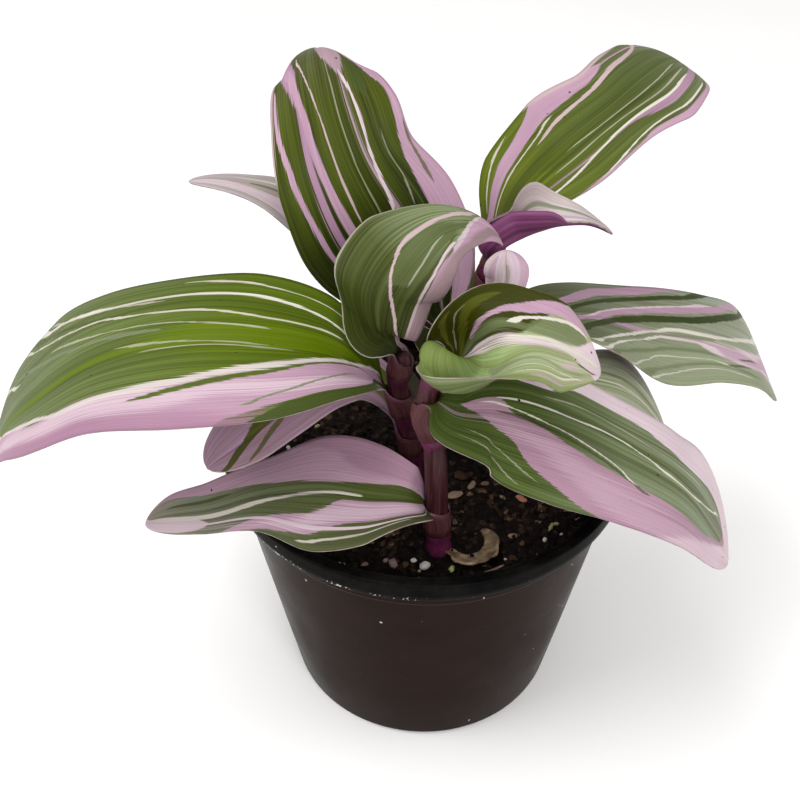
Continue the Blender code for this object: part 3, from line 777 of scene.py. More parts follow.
def striped_finish(name, ground, marks, streaks, seed):
    """A leaf's upper skin: a ground colour from base to tip, streaks along the veins, then marks."""
    finish, tree, shader = new_finish(name, 0.46, 0.10)
    u, v = leaf_map(tree)
    broad = long_grain(tree, u, v, 9, 0.7, seed)
    fibre = long_grain(tree, u, v, 34, 1.1, seed + 7.3, 3)
    hair = long_grain(tree, u, v, 105, 2.4, seed + 3.9)
    drift = long_grain(tree, u, v, 2.2, 4.0, seed + 11.7)
    across = plus(tree, u, plus(tree, rescale(tree, fibre, 0.2, 0.8, -0.007, 0.007),
                                rescale(tree, drift, 0.2, 0.8, -0.022, 0.022)))
    tone = plus(tree, plus(tree, times(tree, broad, 0.40), times(tree, fibre, 0.35)), times(tree, hair, 0.25))
    dim, lit = 1 - 1.15 * streaks, 1 + streaks
    tones = shades(tree, tone, [
        (0.40, (dim, dim, dim * 0.8, 1)), (0.5, (1, 1, 1, 1)), (0.60, (lit, lit, lit * 1.2, 1))])
    base = shades(tree, v, [(place, paint(*screen)) for place, *screen in ground])
    colour = dye(tree, 1.0, base, tones, "MULTIPLY")
    colour = dye(tree, rescale(tree, hair, 0.58, 0.74, 0.0, 0.10), colour, paint(170, 182, 110))
    for shade, soft, strength, spots in marks:
        spots = [(a, b, c) if c > b else (a, b + soft, c - soft) for a, b, c in spots]
        past_left = reckon(tree, "SUBTRACT", across, edge_curve(tree, v, [(a, b) for a, b, c in spots]))
        before_right = reckon(tree, "SUBTRACT", edge_curve(tree, v, [(a, c) for a, b, c in spots]), across)
        nearest = reckon(tree, "MINIMUM", past_left, before_right)
        frayed = plus(tree, nearest, rescale(tree, hair, 0.35, 0.65, -0.5 * soft, 0.5 * soft))
        inside = rescale(tree, frayed, -0.3 * soft, 0.3 * soft, 0.0, strength, "SMOOTHSTEP")
        colour = dye(tree, inside, colour, shade)
    silk = shades(tree, hair, [
        (0.32, (0.84, 0.80, 0.83, 1)), (0.55, (1, 1, 1, 1)), (0.7, (1.06, 1.06, 1.06, 1))])
    blotch = shades(tree, drift, [(0.3, (0.92, 0.90, 0.92, 1)), (0.7, (1.05, 1.05, 1.04, 1))])
    colour = dye(tree, 1.0, dye(tree, 1.0, colour, silk, "MULTIPLY"), blotch, "MULTIPLY")
    crumbs = rescale(tree, mottle(tree, place_on(tree), 620, 1, 0.4), 0.800, 0.815)
    tree.links.new(dye(tree, crumbs, colour, (0.02, 0.012, 0.009, 1)), shader.inputs["Base Color"])
    tree.links.new(rescale(tree, fibre, 0.3, 0.7, 0.36, 0.54), shader.inputs["Roughness"])
    raise_grain(tree, shader, plus(tree, times(tree, fibre, 1.0), times(tree, hair, 0.35)), 0.25 * MM, 0.5)
    return finish


def lower_skin(name, tones, sheen):
    """A leaf's lower skin, in four tones along its veins, with a maroon sheath."""
    finish, tree, shader = new_finish(name, 0.42, 0.16)
    u, v = leaf_map(tree)
    broad = long_grain(tree, u, v, 7, 0.6, 4.1)
    hair = long_grain(tree, u, v, 95, 2.0, 8.6)
    blade = shades(tree, broad, list(zip((0.34, 0.48, 0.58, 0.68), tones)))
    blade = dye(tree, rescale(tree, hair, 0.35, 0.75, 0.0, 0.22), blade, sheen)
    sheath = shades(tree, hair, [(0.3, (0.034, 0.007, 0.013, 1)), (0.5, (0.075, 0.020, 0.027, 1)),
                                 (0.7, (0.13, 0.060, 0.050, 1))])
    tree.links.new(dye(tree, rescale(tree, v, -0.03, 0.05), sheath, blade), shader.inputs["Base Color"])
    tree.links.new(rescale(tree, hair, 0.3, 0.7, 0.36, 0.5), shader.inputs["Roughness"])
    raise_grain(tree, shader, hair, 0.2 * MM, 0.5)
    return finish


purple_under = lower_skin("purple_underside", [
    (0.050, 0.010, 0.030, 1), (0.125, 0.024, 0.088, 1), (0.21, 0.062, 0.155, 1), (0.30, 0.13, 0.23, 1)],
    (0.28, 0.11, 0.20, 1))
young_under = lower_skin("pale_green_underside", [
    paint(66, 78, 30), paint(104, 118, 66), paint(132, 144, 100), paint(164, 160, 138)], paint(172, 178, 150))

margin_finish, tree, shader = new_finish("pale_margin", 0.45, 0.2)
u, v = leaf_map(tree)
cut_edge = shades(tree, long_grain(tree, u, v, 3, 26, 2.2), [
    (0.3, paint(122, 96, 102)), (0.7, paint(186, 176, 162))])
edge_colour = dye(tree, rescale(tree, v, 0.0, 0.05), (0.10, 0.035, 0.045, 1), cut_edge)
tree.links.new(edge_colour, shader.inputs["Base Color"])


def grow_leaf(name, node, stem, ends, heading, ripple, blade, ground, marks, streaks, seed,
              lower=purple_under, slanted=False):
    """One leaf on its stem. Its sheath wraps the stem between two heights and opens to a heading.

    Each row of the blade gives a point of the midrib, where the face looks there, the half widths
    left and right, and how far each half curls up, in degrees. Ripple is height, waves and phase.
    The ground runs from base to tip as (place, red, green, blue), and the marks lie on it in turn.
    """
    points, u_at, v_at = blade_sheet(stem, ends, heading, ripple, blade, slanted)
    rows, columns = points.shape[0] - 1, points.shape[1] - 1
    bm = bmesh.new()
    sheet = bm.loops.layers.uv.new("leaf_map")
    weights = bm.verts.layers.deform.verify()
    bmesh.ops.create_grid(bm, x_segments=columns, y_segments=rows, size=1)
    cell = {}
    for vert in bm.verts:
        cell[vert] = (round((vert.co.y + 1) / 2 * rows), round((vert.co.x + 1) / 2 * columns))
    for face in bm.faces:
        for corner in face.loops:
            row, column = cell[corner.vert]
            corner[sheet].uv = ((u_at[column] + 1) / 2, v_at[row])
    for vert, (row, column) in cell.items():
        rimward = min(max((abs(u_at[column]) - 0.72) / 0.28, 0), 1)
        tipward = min(max((v_at[row] - 0.9) / 0.1, 0), 1)
        vert[weights][0] = 1 - MARGIN_THINNER * max(rimward, tipward) ** 1.5
        vert.co = Vector(points[row, column]) * MM
    bmesh.ops.remove_doubles(bm, verts=bm.verts, dist=1e-6)
    upper = striped_finish(name.replace("_leaf", "_stripes"), ground, marks, streaks, seed)
    piece = set_down(bm, name, [upper, lower, margin_finish])
    piece.vertex_groups.new(name="fleshy")
    thick = piece.modifiers.new("thickness", "SOLIDIFY")
    thick.thickness = LEAF_THICK * MM
    thick.offset = 0
    thick.vertex_group = "fleshy"
    thick.material_offset = 1
    thick.material_offset_rim = 2
    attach(piece, "root")
    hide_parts(node)


# Lowest leaf of the front shoot, flat out to the left just over the soil. It is pink and lilac,
# with one green stripe down its middle and a grey-green half with a white line.
grow_leaf("low_left_leaf", "leaf_left_low", "stem_front", (73, 79), 185, (0.8, 1.5, 0.5), blade=[
    (-4, -33, 85, 0.4, -0.3, 1, 8, 8, 60, 60),
    (-13, -33, 86, 0, -0.25, 1, 13, 13, 25, 25),
    (-24, -32, 87, 0, -0.3, 1, 15, 14, 8, 8),
    (-36, -31, 85, 0, -0.25, 1, 10, 10, 0, 0),
    (-50, -30, 79, -0.2, -0.2, 1, 6.5, 7, 8, 8),
    (-60, -29, 76, -0.2, -0.2, 1, 4.5, 5, 10, 10),
    (-65, -28, 73, -0.3, -0.1, 1, 0, 0, 15, 15)], ground=[
    (0, 70, 80, 36), (0.3, 84, 97, 46), (0.55, 104, 114, 80), (0.75, 128, 136, 110),
    (1, 156, 148, 134)], marks=[
    patch(PINK, [(4, -50, -10), (20, -50, -10), (30, -52, -10), (40, -70, -33), (50, -85, -50),
        (60, -100, -78), (66, -120, -100)]),
    patch(PALE_PINK, [(20, -40, -20), (34, -50, -24), (45, -70, -50), (56, -85, -80)], 12, 0.6),
    border(paint(86, 92, 58), LEFT, [(4, -60), (25, -58), (36, -72), (48, -88), (58, -100)], 5, 0.9),
    line(WHITE, 2.2, [(14, -72), (24, -76), (36, -80), (46, -90)], strength=0.8),
    border(paint(192, 160, 176), RIGHT, [(4, 36), (20, 30), (30, 24), (40, 16.5), (50, 22), (60, 38),
        (70, 52), (80, 66), (90, 80)]),
    border(paint(158, 120, 142), RIGHT, [(5, 50), (25, 42), (38, 70), (50, 110)], 15, 0.6),
    patch(PALE_PINK, [(70, -66, -60), (76, -90, -36), (90, -100, -26), (100, LEFT, 40)]),
    patch(DARK_GREEN, [(62, 30, 30), (68, 25, 36), (80, 26, 38), (90, 30, 30)], 4, 0.7),
    line(WHITE, 3, [(28, 2), (36, 0), (44, -6), (50, -13), (55.6, -20, 5), (63.3, -28, 8), (71, -31, 10),
        (80, -30, 10), (88, -26, 10), (96, -20, 8)], 3)],
    streaks=0.22, seed=1.7)


# Second leaf of the front shoot, arched forward and down to the right. Green in the middle with
# two white lines, pale pink along one side and pink along the other.
grow_leaf("low_right_leaf", "leaf_right_low", "stem_front", (102, 110), -30, (0.8, 1.5, 1.0), blade=[
    (6, -35.5, 113.5, -0.2, -0.35, 1, 7, 9.5, 30, 10),
    (12, -35.5, 113.5, 0, -0.5, 1, 13, 14, 15, 0),
    (25, -36, 110, 0.1, -0.3, 1, 16, 17.5, -10, -10),
    (39, -36, 102, 0.3, -0.3, 1, 15, 15.5, -15, -15),
    (54, -36, 91, 0.5, -0.3, 1, 16.5, 13.5, -12, -12),
    (63, -35, 78, 0.8, -0.3, 0.8, 19.5, 9.5, -5, -5),
    (69, -34, 67, 0.9, -0.3, 0.6, 0, 0, 0, 0)], ground=[
    (0, 58, 72, 20), (0.3, 76, 92, 40), (0.5, 114, 126, 88), (0.8, 124, 134, 102),
    (1, 150, 140, 125)], marks=[
    patch(paint(178, 142, 160), [(10, -20, -20), (20, -20, 24), (25, 0, 38), (30, 7.5, 63), (40, 24, 90),
        (47, 32, 102), (53, 37, RIGHT), (60, 41, RIGHT), (70, 45, RIGHT), (80, 31, RIGHT), (90, -20, RIGHT),
        (96, LEFT, RIGHT)]),
    patch(PALE_PINK, [(50, 150, 160), (60, 100, 150), (70, 70, 140), (85, 30, RIGHT),
        (100, LEFT, RIGHT)], 14, 0.8),
    border(PALE_PINK, LEFT, [(10, -90), (20, -70), (30, -48), (40, -66), (50, -66), (60, -55), (70, -46),
        (80, -51), (90, -20), (100, RIGHT)]),
    line(DEEP_GREEN, 2.2, [(22, -22), (36, -25), (47, -27), (56, -20), (66, -14), (76, -22)], strength=0.6),
    line(DARK_GREEN, 2, [(20, 0), (34, 9), (44, 20), (52, 36), (57, 44)], strength=0.7),
    line(WHITE, 1.1, [(20, -21), (30, -20), (37.8, -19), (46.7, -22), (54.4, -16), (60, -9), (66.7, -8),
        (74.4, -14), (81, -23), (87, -34)], strength=0.9),
    line(WHITE, 1, [(16, -14), (25, -7), (35.6, 4), (43.3, 13), (48.9, 24), (54, 37)], strength=0.9),
    patch(paint(214, 184, 200), [(20, 10, 16), (34, 24, 50), (50, 50, 90), (64, 60, 110),
        (76, 60, 120)], 16, 0.45),
    line(CREAM, 0.7, [(30, -36), (45, -42), (60, -36), (74, -34)], strength=0.5),
    line(CREAM, 0.8, [(12, 42), (22, 56), (33, 83)], strength=0.35),
    line(CREAM, 0.8, [(12, 60), (20, 72), (29, 93)], strength=0.35),
    line(paint(150, 120, 110), 3.5, [(87.5, 50), (90, 49), (92.5, 47)], 3, 0.5)],
    streaks=0.34, seed=5.2)


# Youngest leaf of the front shoot, still rolled into a wide funnel that opens towards the right.
# Its near half is fresh green, its far half dark with painted shade in the funnel's hollow, and
# its tip pink and cream.
grow_leaf("funnel_leaf", "leaf_funnel", "stem_front", (118, 120.5), -25, (0, 2, 0), blade=[
    (10, -29.5, 123.5, -1, -0.15, 0.05, 15, 19, 145, 170),
    (14, -31.5, 127, -1, -0.15, 0.1, 18, 24, 135, 145),
    (19, -32.5, 128, -0.5, -0.1, 0.8, 13, 13, 75, 35),
    (26, -32.5, 126, 0.2, -0.35, 0.9, 9.5, 9, 30, -10),
    (34, -31, 119.5, 0.8, -0.3, 0.6, 0, 0, 0, 0)], ground=[
    (0, 52, 52, 12), (0.15, 104, 124, 58), (0.3, 157, 178, 117), (0.6, 168, 178, 134),
    (1, 190, 188, 160)], marks=[
    # Painted shade: the dark olive deep in the funnel's hollow, from its base up the far half.
    border(paint(60, 64, 6), LEFT, [(5, -4), (30, -8), (42, -10), (50, -30), (58, -62), (65, -100)], 6),
    patch(paint(112, 124, 84), [(48, -30, -20), (56, -55, -18), (66, -66, -20), (76, -70, -30),
        (80, -60, -50)], 8, 0.85),
    line(paint(92, 98, 26), 5, [(2, -30), (20, -42), (34, -56), (46, -80)], 4, 0.9),
    line(paint(104, 108, 40), 3.5, [(2, -60), (20, -70), (38, -86)], 3, 0.8),
    line(CREAM, 0.8, [(10, -50), (25, -58), (40, -74)], strength=0.4),
    border(paint(124, 142, 76), RIGHT, [(0, 30), (20, 50), (40, 72), (55, 90)], 12, 0.8),
    line(GREY_GREEN, 3, [(30, 20), (50, 34), (66, 50), (80, 60)], strength=0.7),
    line(WHITE, 1, [(30, 34), (48, 50), (66, 60), (80, 80)], strength=0.7),
    line(PINK, 3, [(20, -28, 2), (28, -32), (36, -37), (44, -50, 5), (50, -62, 9), (56, -74, 12),
        (64, -82, 14), (74, -85, 12), (80, -88, 10)], 3),
    line(WHITE, 2.5, [(40, -25), (48, -42), (55, -53), (62, -60, 3), (72, -70, 4), (80, -76)]),
    patch(PALE_PINK, [(68, -10, 0), (74, -30, 20), (82, -80, 40), (90, LEFT, 90), (95, LEFT, RIGHT)], 12),
    line(BLUSH, 5, [(62, 38), (69, 38, 8), (76, 40)], 6, 0.8),
    line(paint(112, 104, 62), 3, [(72, 24), (75.5, 27), (83, 40), (92, 55)]),
    line(WHITE, 1.5, [(46, 70), (60, 70), (76, 69)]),
    line(PINK, 3, [(50, 84), (58, 84), (66, 83)], strength=0.8),
    line(WHITE, 2, [(36, -6, 1.2), (46.7, -10), (55.6, -13, 4), (65.5, -9, 7), (71, -5, 10), (82, 0, 15),
        (93, 0, 15)], 3)],
    streaks=0.2, seed=9.1, lower=young_under, slanted=True)


# Lower leaf of the left shoot, mostly hidden under the biggest one. It lies level, pink with
# two green stripes that slant across it to its margin.
grow_leaf("left_lower_leaf", "leaf_left_behind", "stem_left", (80, 85), 140, (0, 2, 0), blade=[
    (-9, -5.5, 90.5, 0.4, -0.3, 1, 5.5, 5.5, 50, 50),
    (-16, -4, 95.5, 0.2, -0.2, 1, 7, 9, 25, 25),
    (-24, -7.5, 97, 0, -0.2, 1, 8, 12, 8, 8),
    (-33.5, -15.5, 95, -0.2, -0.2, 1, 8, 13, 0, 0),
    (-42.5, -23, 92, -0.4, -0.2, 1, 7.5, 10.5, 0, 0),
    (-49, -28, 90, -0.5, -0.3, 1, 0, 0, 0, 0)], ground=[
    (0, 160, 128, 144), (0.4, 194, 162, 178), (1, 210, 178, 194)], marks=[
    patch(paint(98, 104, 46), [(10, 30, 80), (40, 20, 70), (55, 12, 55), (62, 4, 38), (68, -4, 26),
        (73, -14, 14), (80, -35, -5), (86, -64, -34), (92, -100, -74), (96, -120, -110)]),
    patch(paint(122, 122, 80), [(10, -30, 0), (40, -12, 12), (56, -14, 4), (64, -34, -14), (71, -54, -38),
        (78, -78, -66), (82, -90, -88)])],
    streaks=0.12, seed=12.4)


# The biggest leaf, held out level from the left shoot and drooping at its tip. Fresh green with
# fine white lines at the back, and a broad pink band with a cream border along the front.
grow_leaf("big_left_leaf", "leaf_left_big", "stem_left", (92, 97), 195, (0.8, 1.5, 0), blade=[
    (-13, -15, 106, 0.5, -0.2, 1, 6, 6, 50, 50),
    (-21, -19, 115, 0.3, -0.25, 1, 13, 14, 20, 20),
    (-34, -22, 120, 0.1, -0.25, 1, 19, 19, 0, 0),
    (-52, -22, 120, -0.1, -0.2, 1, 21, 23, -12, -12),
    (-71, -22, 114, -0.4, -0.2, 1, 17.5, 25, -12, -12),
    (-85, -22, 104, -0.6, -0.2, 1, 13.5, 26, -8, -8),
    (-94, -21, 95, -0.8, -0.2, 0.8, 8.5, 18.5, -4, -4),
    (-99, -21, 86, -0.9, -0.2, 0.7, 0, 0, 0, 0)], ground=[
    (0, 66, 84, 3), (0.22, 76, 96, 4), (0.42, 88, 108, 18), (0.62, 104, 120, 62), (0.85, 114, 127, 84),
    (1, 96, 108, 58)], marks=[
    patch(FRESH_GREEN, [(12, 10, 10), (25, -5, 30), (40, -12, 28), (58, 0, 10)], 14, 0.75),
    patch(PINK, [(4, 30, 30), (10, -10, 40), (14.4, -60, 12), (20, -75, -5), (30, -78, -25), (40, -93, -40),
        (50, LEFT, -50), (70, LEFT, -50), (80, LEFT, -33), (90, LEFT, 0), (97, LEFT, 60),
        (100, LEFT, RIGHT)]),
    # A darker lilac along the left margin: the margin's own lilac, deepened with painted shade.
    border(paint(170, 128, 152), LEFT, [(36, -90), (50, -82), (66, -80), (80, -74), (90, -50)], 16, 0.8),
    patch(PALE_PINK, [(40, -62, -50), (55, -78, -56), (70, -76, -54), (80, -70, -40)], 12, 0.6),
    patch(DEEP_GREEN, [(0, 15, 15), (6.7, -12, 10), (14.4, -85, -62), (20, LEFT, -76), (30, LEFT, -80),
        (36, LEFT, -93), (42, LEFT, LEFT)]),
    line(paint(88, 106, 36), 3.2, [(12, 2, 1), (20, -14, 2), (30, -28), (37.8, -42), (45, -53),
        (51.7, -62, 2), (57, -67, 1)], 2),
    line(GREY_GREEN, 1.3, [(17, -34), (25.6, -51), (35.6, -71), (40, -80)]),
    line(paint(222, 212, 206), 3.8, [(5, 60), (10, 41), (14.4, 13), (24.4, -15), (37.8, -34), (50, -50),
        (65.5, -55), (74.4, -41), (83, -26), (90, 0), (95, 15)], 3.5),
    line(CREAM, 0.8, [(34, 20), (46, 26), (60, 36), (74, 52)], strength=0.6),
    line(CREAM, 0.8, [(50, 60), (60, 68), (70, 82), (78, 98)], strength=0.7),
    line(GREY_GREEN, 2, [(50, 20), (62, 30), (76, 46), (88, 70)], strength=0.7),
    line(DEEP_GREEN, 2, [(56, 50), (66, 64), (76, 80), (84, 100)], strength=0.6),
    line(WHITE, 2, [(16, 50), (24.4, 57.5), (31, 63), (42, 66), (53, 67.5), (57.8, 68), (65.5, 77),
        (75.5, 88), (82, 102)], 1.8),
    line(CREAM, 1.2, [(20, 38), (33.3, 36), (46.7, 43), (54.4, 47), (62, 56), (71, 63), (80, 81),
        (86, 102)]),
    line(CREAM, 1.1, [(20, 79), (26.7, 81), (35.6, 82.5), (50, 88)]),
    line(WHITE, 2, [(82, 50), (87, 72), (94, 100)]),
    line(CREAM, 0.8, [(30, -8), (42, -5), (56, 0)], strength=0.6),
    line(CREAM, 0.7, [(34, -2), (46, 3), (60, 12)], strength=0.5)],
    streaks=0.26, seed=15.8)


# Top leaf of the left shoot, arched over like a hood with its tip turned down behind. Dark olive
# with many fine lines, a pale pink stripe and a pink band.
grow_leaf("hood_leaf", "leaf_hood", "stem_left", (105, 109), 150, (0, 2, 0), blade=[
    (-9.3, -13, 114.5, 0.2, -0.85, 0.4, 5, 3.5, 60, 60),
    (-11.5, -18, 121.5, -0.35, -0.8, 0.5, 8.5, 9.5, -10, -10),
    (-11, -21, 133, -0.1, -0.75, 0.6, 12.5, 12.5, -50, -50),
    (-6, -20, 141, -0.1, -0.6, 0.8, 13.5, 12.5, -50, -50),
    (1, -16, 145, 0.1, -0.4, 1, 8, 9.5, -40, -40),
    (9, -12, 143, 0.5, -0.2, 0.9, 4, 5, -30, -30),
    (15, -8, 135, 0.9, 0, 0.4, 0, 0, -10, -10)], ground=[
    (0, 46, 54, 12), (0.35, 60, 70, 20), (0.5, 80, 90, 42), (0.6, 116, 128, 86), (0.72, 132, 143, 102),
    (0.85, 96, 102, 60), (1, 80, 84, 44)], marks=[
    patch(paint(92, 104, 60), [(44, 5, 10), (52, 2, 50), (62, -2, 50), (70, 10, 30)], 12, 0.8),
    border(PINK, RIGHT, [(2, 50), (10, 62), (20, 72), (30, 72), (40, 76), (50, 70), (58, 64), (64, 66),
        (69, 62), (74, 25), (78, -15), (82, -70), (86, LEFT), (100, LEFT)]),
    border(CREAM, LEFT, [(10, -96), (50, -93), (80, -90)], 3, 0.8),
    line(DEEP_GREEN, 2, [(46, 66), (55, 56), (64, 52), (70, 42)], strength=0.8),
    line(PALE_PINK, 2.6, [(24, 76, 1.5), (40, 72), (50, 65), (60, 58), (68, 56, 4)], 2),
    line(PALE_PINK, 8, [(64, 68), (69, 58), (74, 20), (78, -20), (81, -60), (84, -120)], 6, 0.8),
    patch(paint(110, 106, 70), [(72, 70, RIGHT), (80, 30, 90), (88, -20, 50), (96, -40, 20)], 20, 0.5),
    line(CREAM, 1.2, [(46, 42), (56, 36), (66, 28)], strength=0.5),
    line(BLUSH, 3, [(22, 55, 1.5), (27, 50), (33, 41), (38, 32), (43, 22), (47.5, 9), (52, -4), (56, -10),
        (62, -11, 4), (67, -15, 5), (71, -25, 9), (75, -35, 12), (79, -50, 12)], 2.2)],
    streaks=0.40, seed=19.3)


# Lowest leaf of the back shoot, rising to the left behind the others to a narrow level tip.
# It is pale pink and grey-green, with a soft dark stripe and one white line.
grow_leaf("far_left_leaf", "leaf_far_left", "stem_back", (68.5, 73), 150, (0, 2, 0), blade=[
    (-5, 11, 80, 0.5, 0.2, 1, 6, 6, 50, 50),
    (-16, 18, 106, 0.6, 0, 1, 9, 9, 20, 20),
    (-32, 22, 127.5, 0.4, 0, 1, 10, 10, 0, 0),
    (-43, 22, 132.5, 0, 0.2, 1, 8, 8, 0, 0),
    (-55, 22, 133.5, -0.2, 0.2, 1, 0, 0, 0, 0)], ground=[
    (0, 110, 120, 84), (0.5, 176, 172, 158), (1, 196, 184, 182)], marks=[
    patch(PALE_PINK, [(10, -70, -20), (50, -80, -15), (90, -60, 10)]),
    line(DEEP_GREEN, 7, [(5, 20), (40, 28), (80, 20)], strength=0.7),
    line(WHITE, 3, [(20, 55), (50, 60), (85, 50)])],
    streaks=0.16, seed=23.5)


# Lower leaf of the right shoot, half hidden on the right under a leaf of the front shoot. It is
# grey-green with fine white lines and a pale pink margin.
grow_leaf("right_lower_leaf", "leaf_right_under", "stem_right", (79, 83.5), -30, (0, 2, 0), blade=[
    (20, 0, 90, -0.4, 0, 1, 5.5, 6, 50, 50),
    (28, -4.5, 95, -0.2, 0, 1, 12, 12, 20, 20),
    (36, -7, 95.5, 0.1, 0, 1, 15.5, 15, 0, 0),
    (47, -8, 92, 0.4, -0.1, 1, 18.5, 14, -8, -8),
    (58, -8, 80, 0.8, -0.1, 0.8, 0, 0, -5, -5)], ground=[
    (0, 110, 122, 80), (0.3, 156, 166, 132), (1, 172, 180, 150)], marks=[
    border(PALE_PINK, RIGHT, [(10, 95), (50, 90), (80, 80), (100, 30)], 5),
    border(PALE_PINK, LEFT, [(10, -97), (50, -95), (80, -90), (100, -30)], 4),
    line(WHITE, 1.2, [(20, -20), (50, -26), (90, -10)], strength=0.7),
    line(WHITE, 1, [(25, -50), (55, -60), (88, -40)], strength=0.7),
    line(DEEP_GREEN, 2, [(22, -36), (50, -43), (85, -28)], strength=0.5),
    line(WHITE, 2, [(20, 30), (50, 36), (85, 22)])],
    streaks=0.24, seed=27.9)


# Leaf of the back shoot at the back of the pot, arched down over the lip. It is green, with a
# pink band on its right half and white and cream lines.
grow_leaf("back_left_leaf", "leaf_back_left", "stem_back", (81, 86), 100, (0.6, 1.5, 0), blade=[
    (3, 12, 92, 0.1, -0.6, 1, 6, 6, 50, 50),
    (2, 22, 101, 0, -0.2, 1, 10, 10, 20, 20),
    (0, 35, 106, -0.1, 0.1, 1, 12.5, 12.5, 0, 0),
    (-3, 50, 103, -0.1, 0.4, 1, 12, 12, -10, -10),
    (-6, 62, 93, -0.1, 0.8, 0.8, 8, 8, -8, -8),
    (-8, 69, 83, -0.1, 1, 0.4, 0, 0, 0, 0)], ground=[
    (0, 66, 80, 24), (0.4, 88, 102, 48), (0.8, 112, 124, 84), (1, 130, 134, 104)], marks=[
    patch(PINK, [(10, 25, 30), (30, 30, 70), (50, 36, 86), (70, 34, 100), (85, 10, RIGHT),
        (100, -40, RIGHT)]),
    line(WHITE, 2, [(15, -18), (40, -25), (65, -28), (85, -12)]),
    line(CREAM, 3, [(20, -60), (50, -68), (80, -50)], 2.5),
    line(CREAM, 1.2, [(20, 12), (50, 14), (80, 2)])],
    streaks=0.32, seed=31.2)


# Tallest leaf, standing up at the back with its face to the front and its tip bent over. Dark
# olive with pink stripes that run together at the tip. Its ground is darker towards the base,
# painted shade below the hood leaf, and greyer at the bent-over tip, a painted sheen where it
# faces up.
grow_leaf("tall_leaf", "leaf_tall", "stem_back", (94, 100), 110, (1.2, 1.5, 0), blade=[
    (2, 9, 106, 0, -1, 0.5, 7, 7, 50, 50),
    (-3, 10, 117, 0.1, -1, 0.4, 16, 15.5, 25, 25),
    (-10, 11, 129, 0.1, -1, 0.5, 20, 17.8, 8, 8),
    (-17, 14, 142, 0.1, -1, 0.6, 17.5, 14.8, 0, 0),
    (-21, 19, 152, 0, -0.9, 0.9, 14, 14.5, -15, -18),
    (-23.5, 26, 161, 0, -0.5, 1, 12, 10.5, -55, -65),
    (-25, 36, 159, 0, 0.3, 1, 0, 0, -30, -30)], ground=[
    # Ground: darker up to the middle as painted shade under the hood leaf, greyer near the tip as a painted
    # sheen.
    (0, 32, 40, 4), (0.4, 44, 54, 3), (0.55, 68, 80, 4), (0.7, 74, 84, 18), (0.82, 78, 84, 42),
    (0.92, 98, 98, 72), (1, 96, 92, 70)], marks=[
    patch(paint(176, 150, 160), [(76, 24, 28), (80, 10, 36), (85, -5, 45), (90, -10, 60), (96, 10, 60)], 6),
    patch(LILAC, [(70, -56, -46), (76, -72, -50), (80, -86, -52), (84, -110, -62), (89, LEFT, -80),
        (94, -120, -100)], 5),
    patch(PINK, [(30, 60, RIGHT), (42, 62, RIGHT), (50, 71, RIGHT), (60, 84, RIGHT), (69, 88, RIGHT),
        (75, 76, RIGHT), (80, 62, RIGHT), (86, 48, 120), (92, 46, 100)]),
    patch(DEEP_GREEN, [(69, 54, 56), (74, 42, 62), (80, 42, 52), (84, 44, 46)], 3),
    line(OLIVE, 1.5, [(42, 80), (52, 90), (62, 98)], strength=0.8),
    border(BLUSH, LEFT, [(55, -102), (62, -96), (85, -94), (95, -90)], 3),
    line(PINK, 3.5, [(36, -68), (45, -70), (52, -74), (60, -80), (67, -89), (76, -92)], 2.2),
    line(PINK, 5, [(30, -33), (43, -35), (52, -38), (60, -42), (68, -47), (76, -57, 7), (84, -72, 9)], 2.5),
    line(CREAM, 0.8, [(40, 2), (55, 6), (70, 8), (84, 6)], strength=0.4),
    line(CREAM, 0.8, [(40, 46), (50, 56), (62, 60)], strength=0.4),
    line(BLUSH, 1.2, [(43, -20), (57.8, -19), (65.5, -21), (72, -27), (79, -38), (87, -53)]),
    line(PALE_PINK, 2.2, [(38, 14), (44, 21), (50, 28), (57.8, 34), (65.5, 36.5), (72, 34), (79, 25)])],
    streaks=0.33, seed=35.6)


# Small new leaf of the back shoot, upright, cupped at its base and nearly white. A soft green
# stripe runs up its middle, with pink on both sides.
grow_leaf("young_pale_leaf", "leaf_young_pale", "stem_back", (106, 110), 0, (0, 2, 0), blade=[
    (14, 0, 114, -0.7, -0.2, 0.6, 4, 4, 50, 50),
    (17, 0, 120, -0.4, -0.6, 0.6, 5, 5, 20, 20),
    (17, 1, 125, -0.1, -0.6, 0.7, 4.5, 4.5, 0, 0),
    (17, 3, 127, 0, -0.3, 1, 0, 0, 0, 0)], ground=[
    (0, 176, 150, 150), (0.3, 214, 196, 200), (1, 226, 206, 210)], marks=[
    line(GREY_GREEN, 10, [(30, 14), (55, 10), (80, 4)], 8, 0.5),
    border(PINK, RIGHT, [(0, 40), (50, 66), (100, 60)], 10, 0.8),
    line(PINK, 12, [(10, -60), (50, -70), (90, -50)], 8, 0.7)],
    streaks=0.1, seed=39.4)


# Low leaf at the back right, leaning out over the lip and down. It is green, with a lilac band
# along its left margin, a white line and a cream one.
grow_leaf("back_right_leaf", "leaf_back_right", "stem_right", (70, 75), 45, (0.5, 1.5, 0), blade=[
    (20.5, 11.5, 80, -0.4, -0.4, 1, 5, 5, 50, 50),
    (27, 19, 90, 0, -0.1, 1, 9, 9, 20, 20),
    (36, 30, 90, 0.2, 0.2, 1, 10.5, 10.5, 0, 0),
    (44, 42, 83, 0.4, 0.4, 1, 8, 8, -8, -8),
    (50, 51, 73, 0.6, 0.6, 0.6, 0, 0, 0, 0)], ground=[
    (0, 72, 86, 30), (0.4, 98, 110, 58), (1, 124, 130, 96)], marks=[
    patch(LILAC, [(10, -50, -45), (30, -80, -40), (60, -100, -42), (85, LEFT, -10), (100, LEFT, 50)]),
    line(WHITE, 2.5, [(15, 20), (45, 30), (80, 25)]),
    line(CREAM, 2, [(20, 60), (50, 70), (80, 60)])],
    streaks=0.3, seed=43.3)


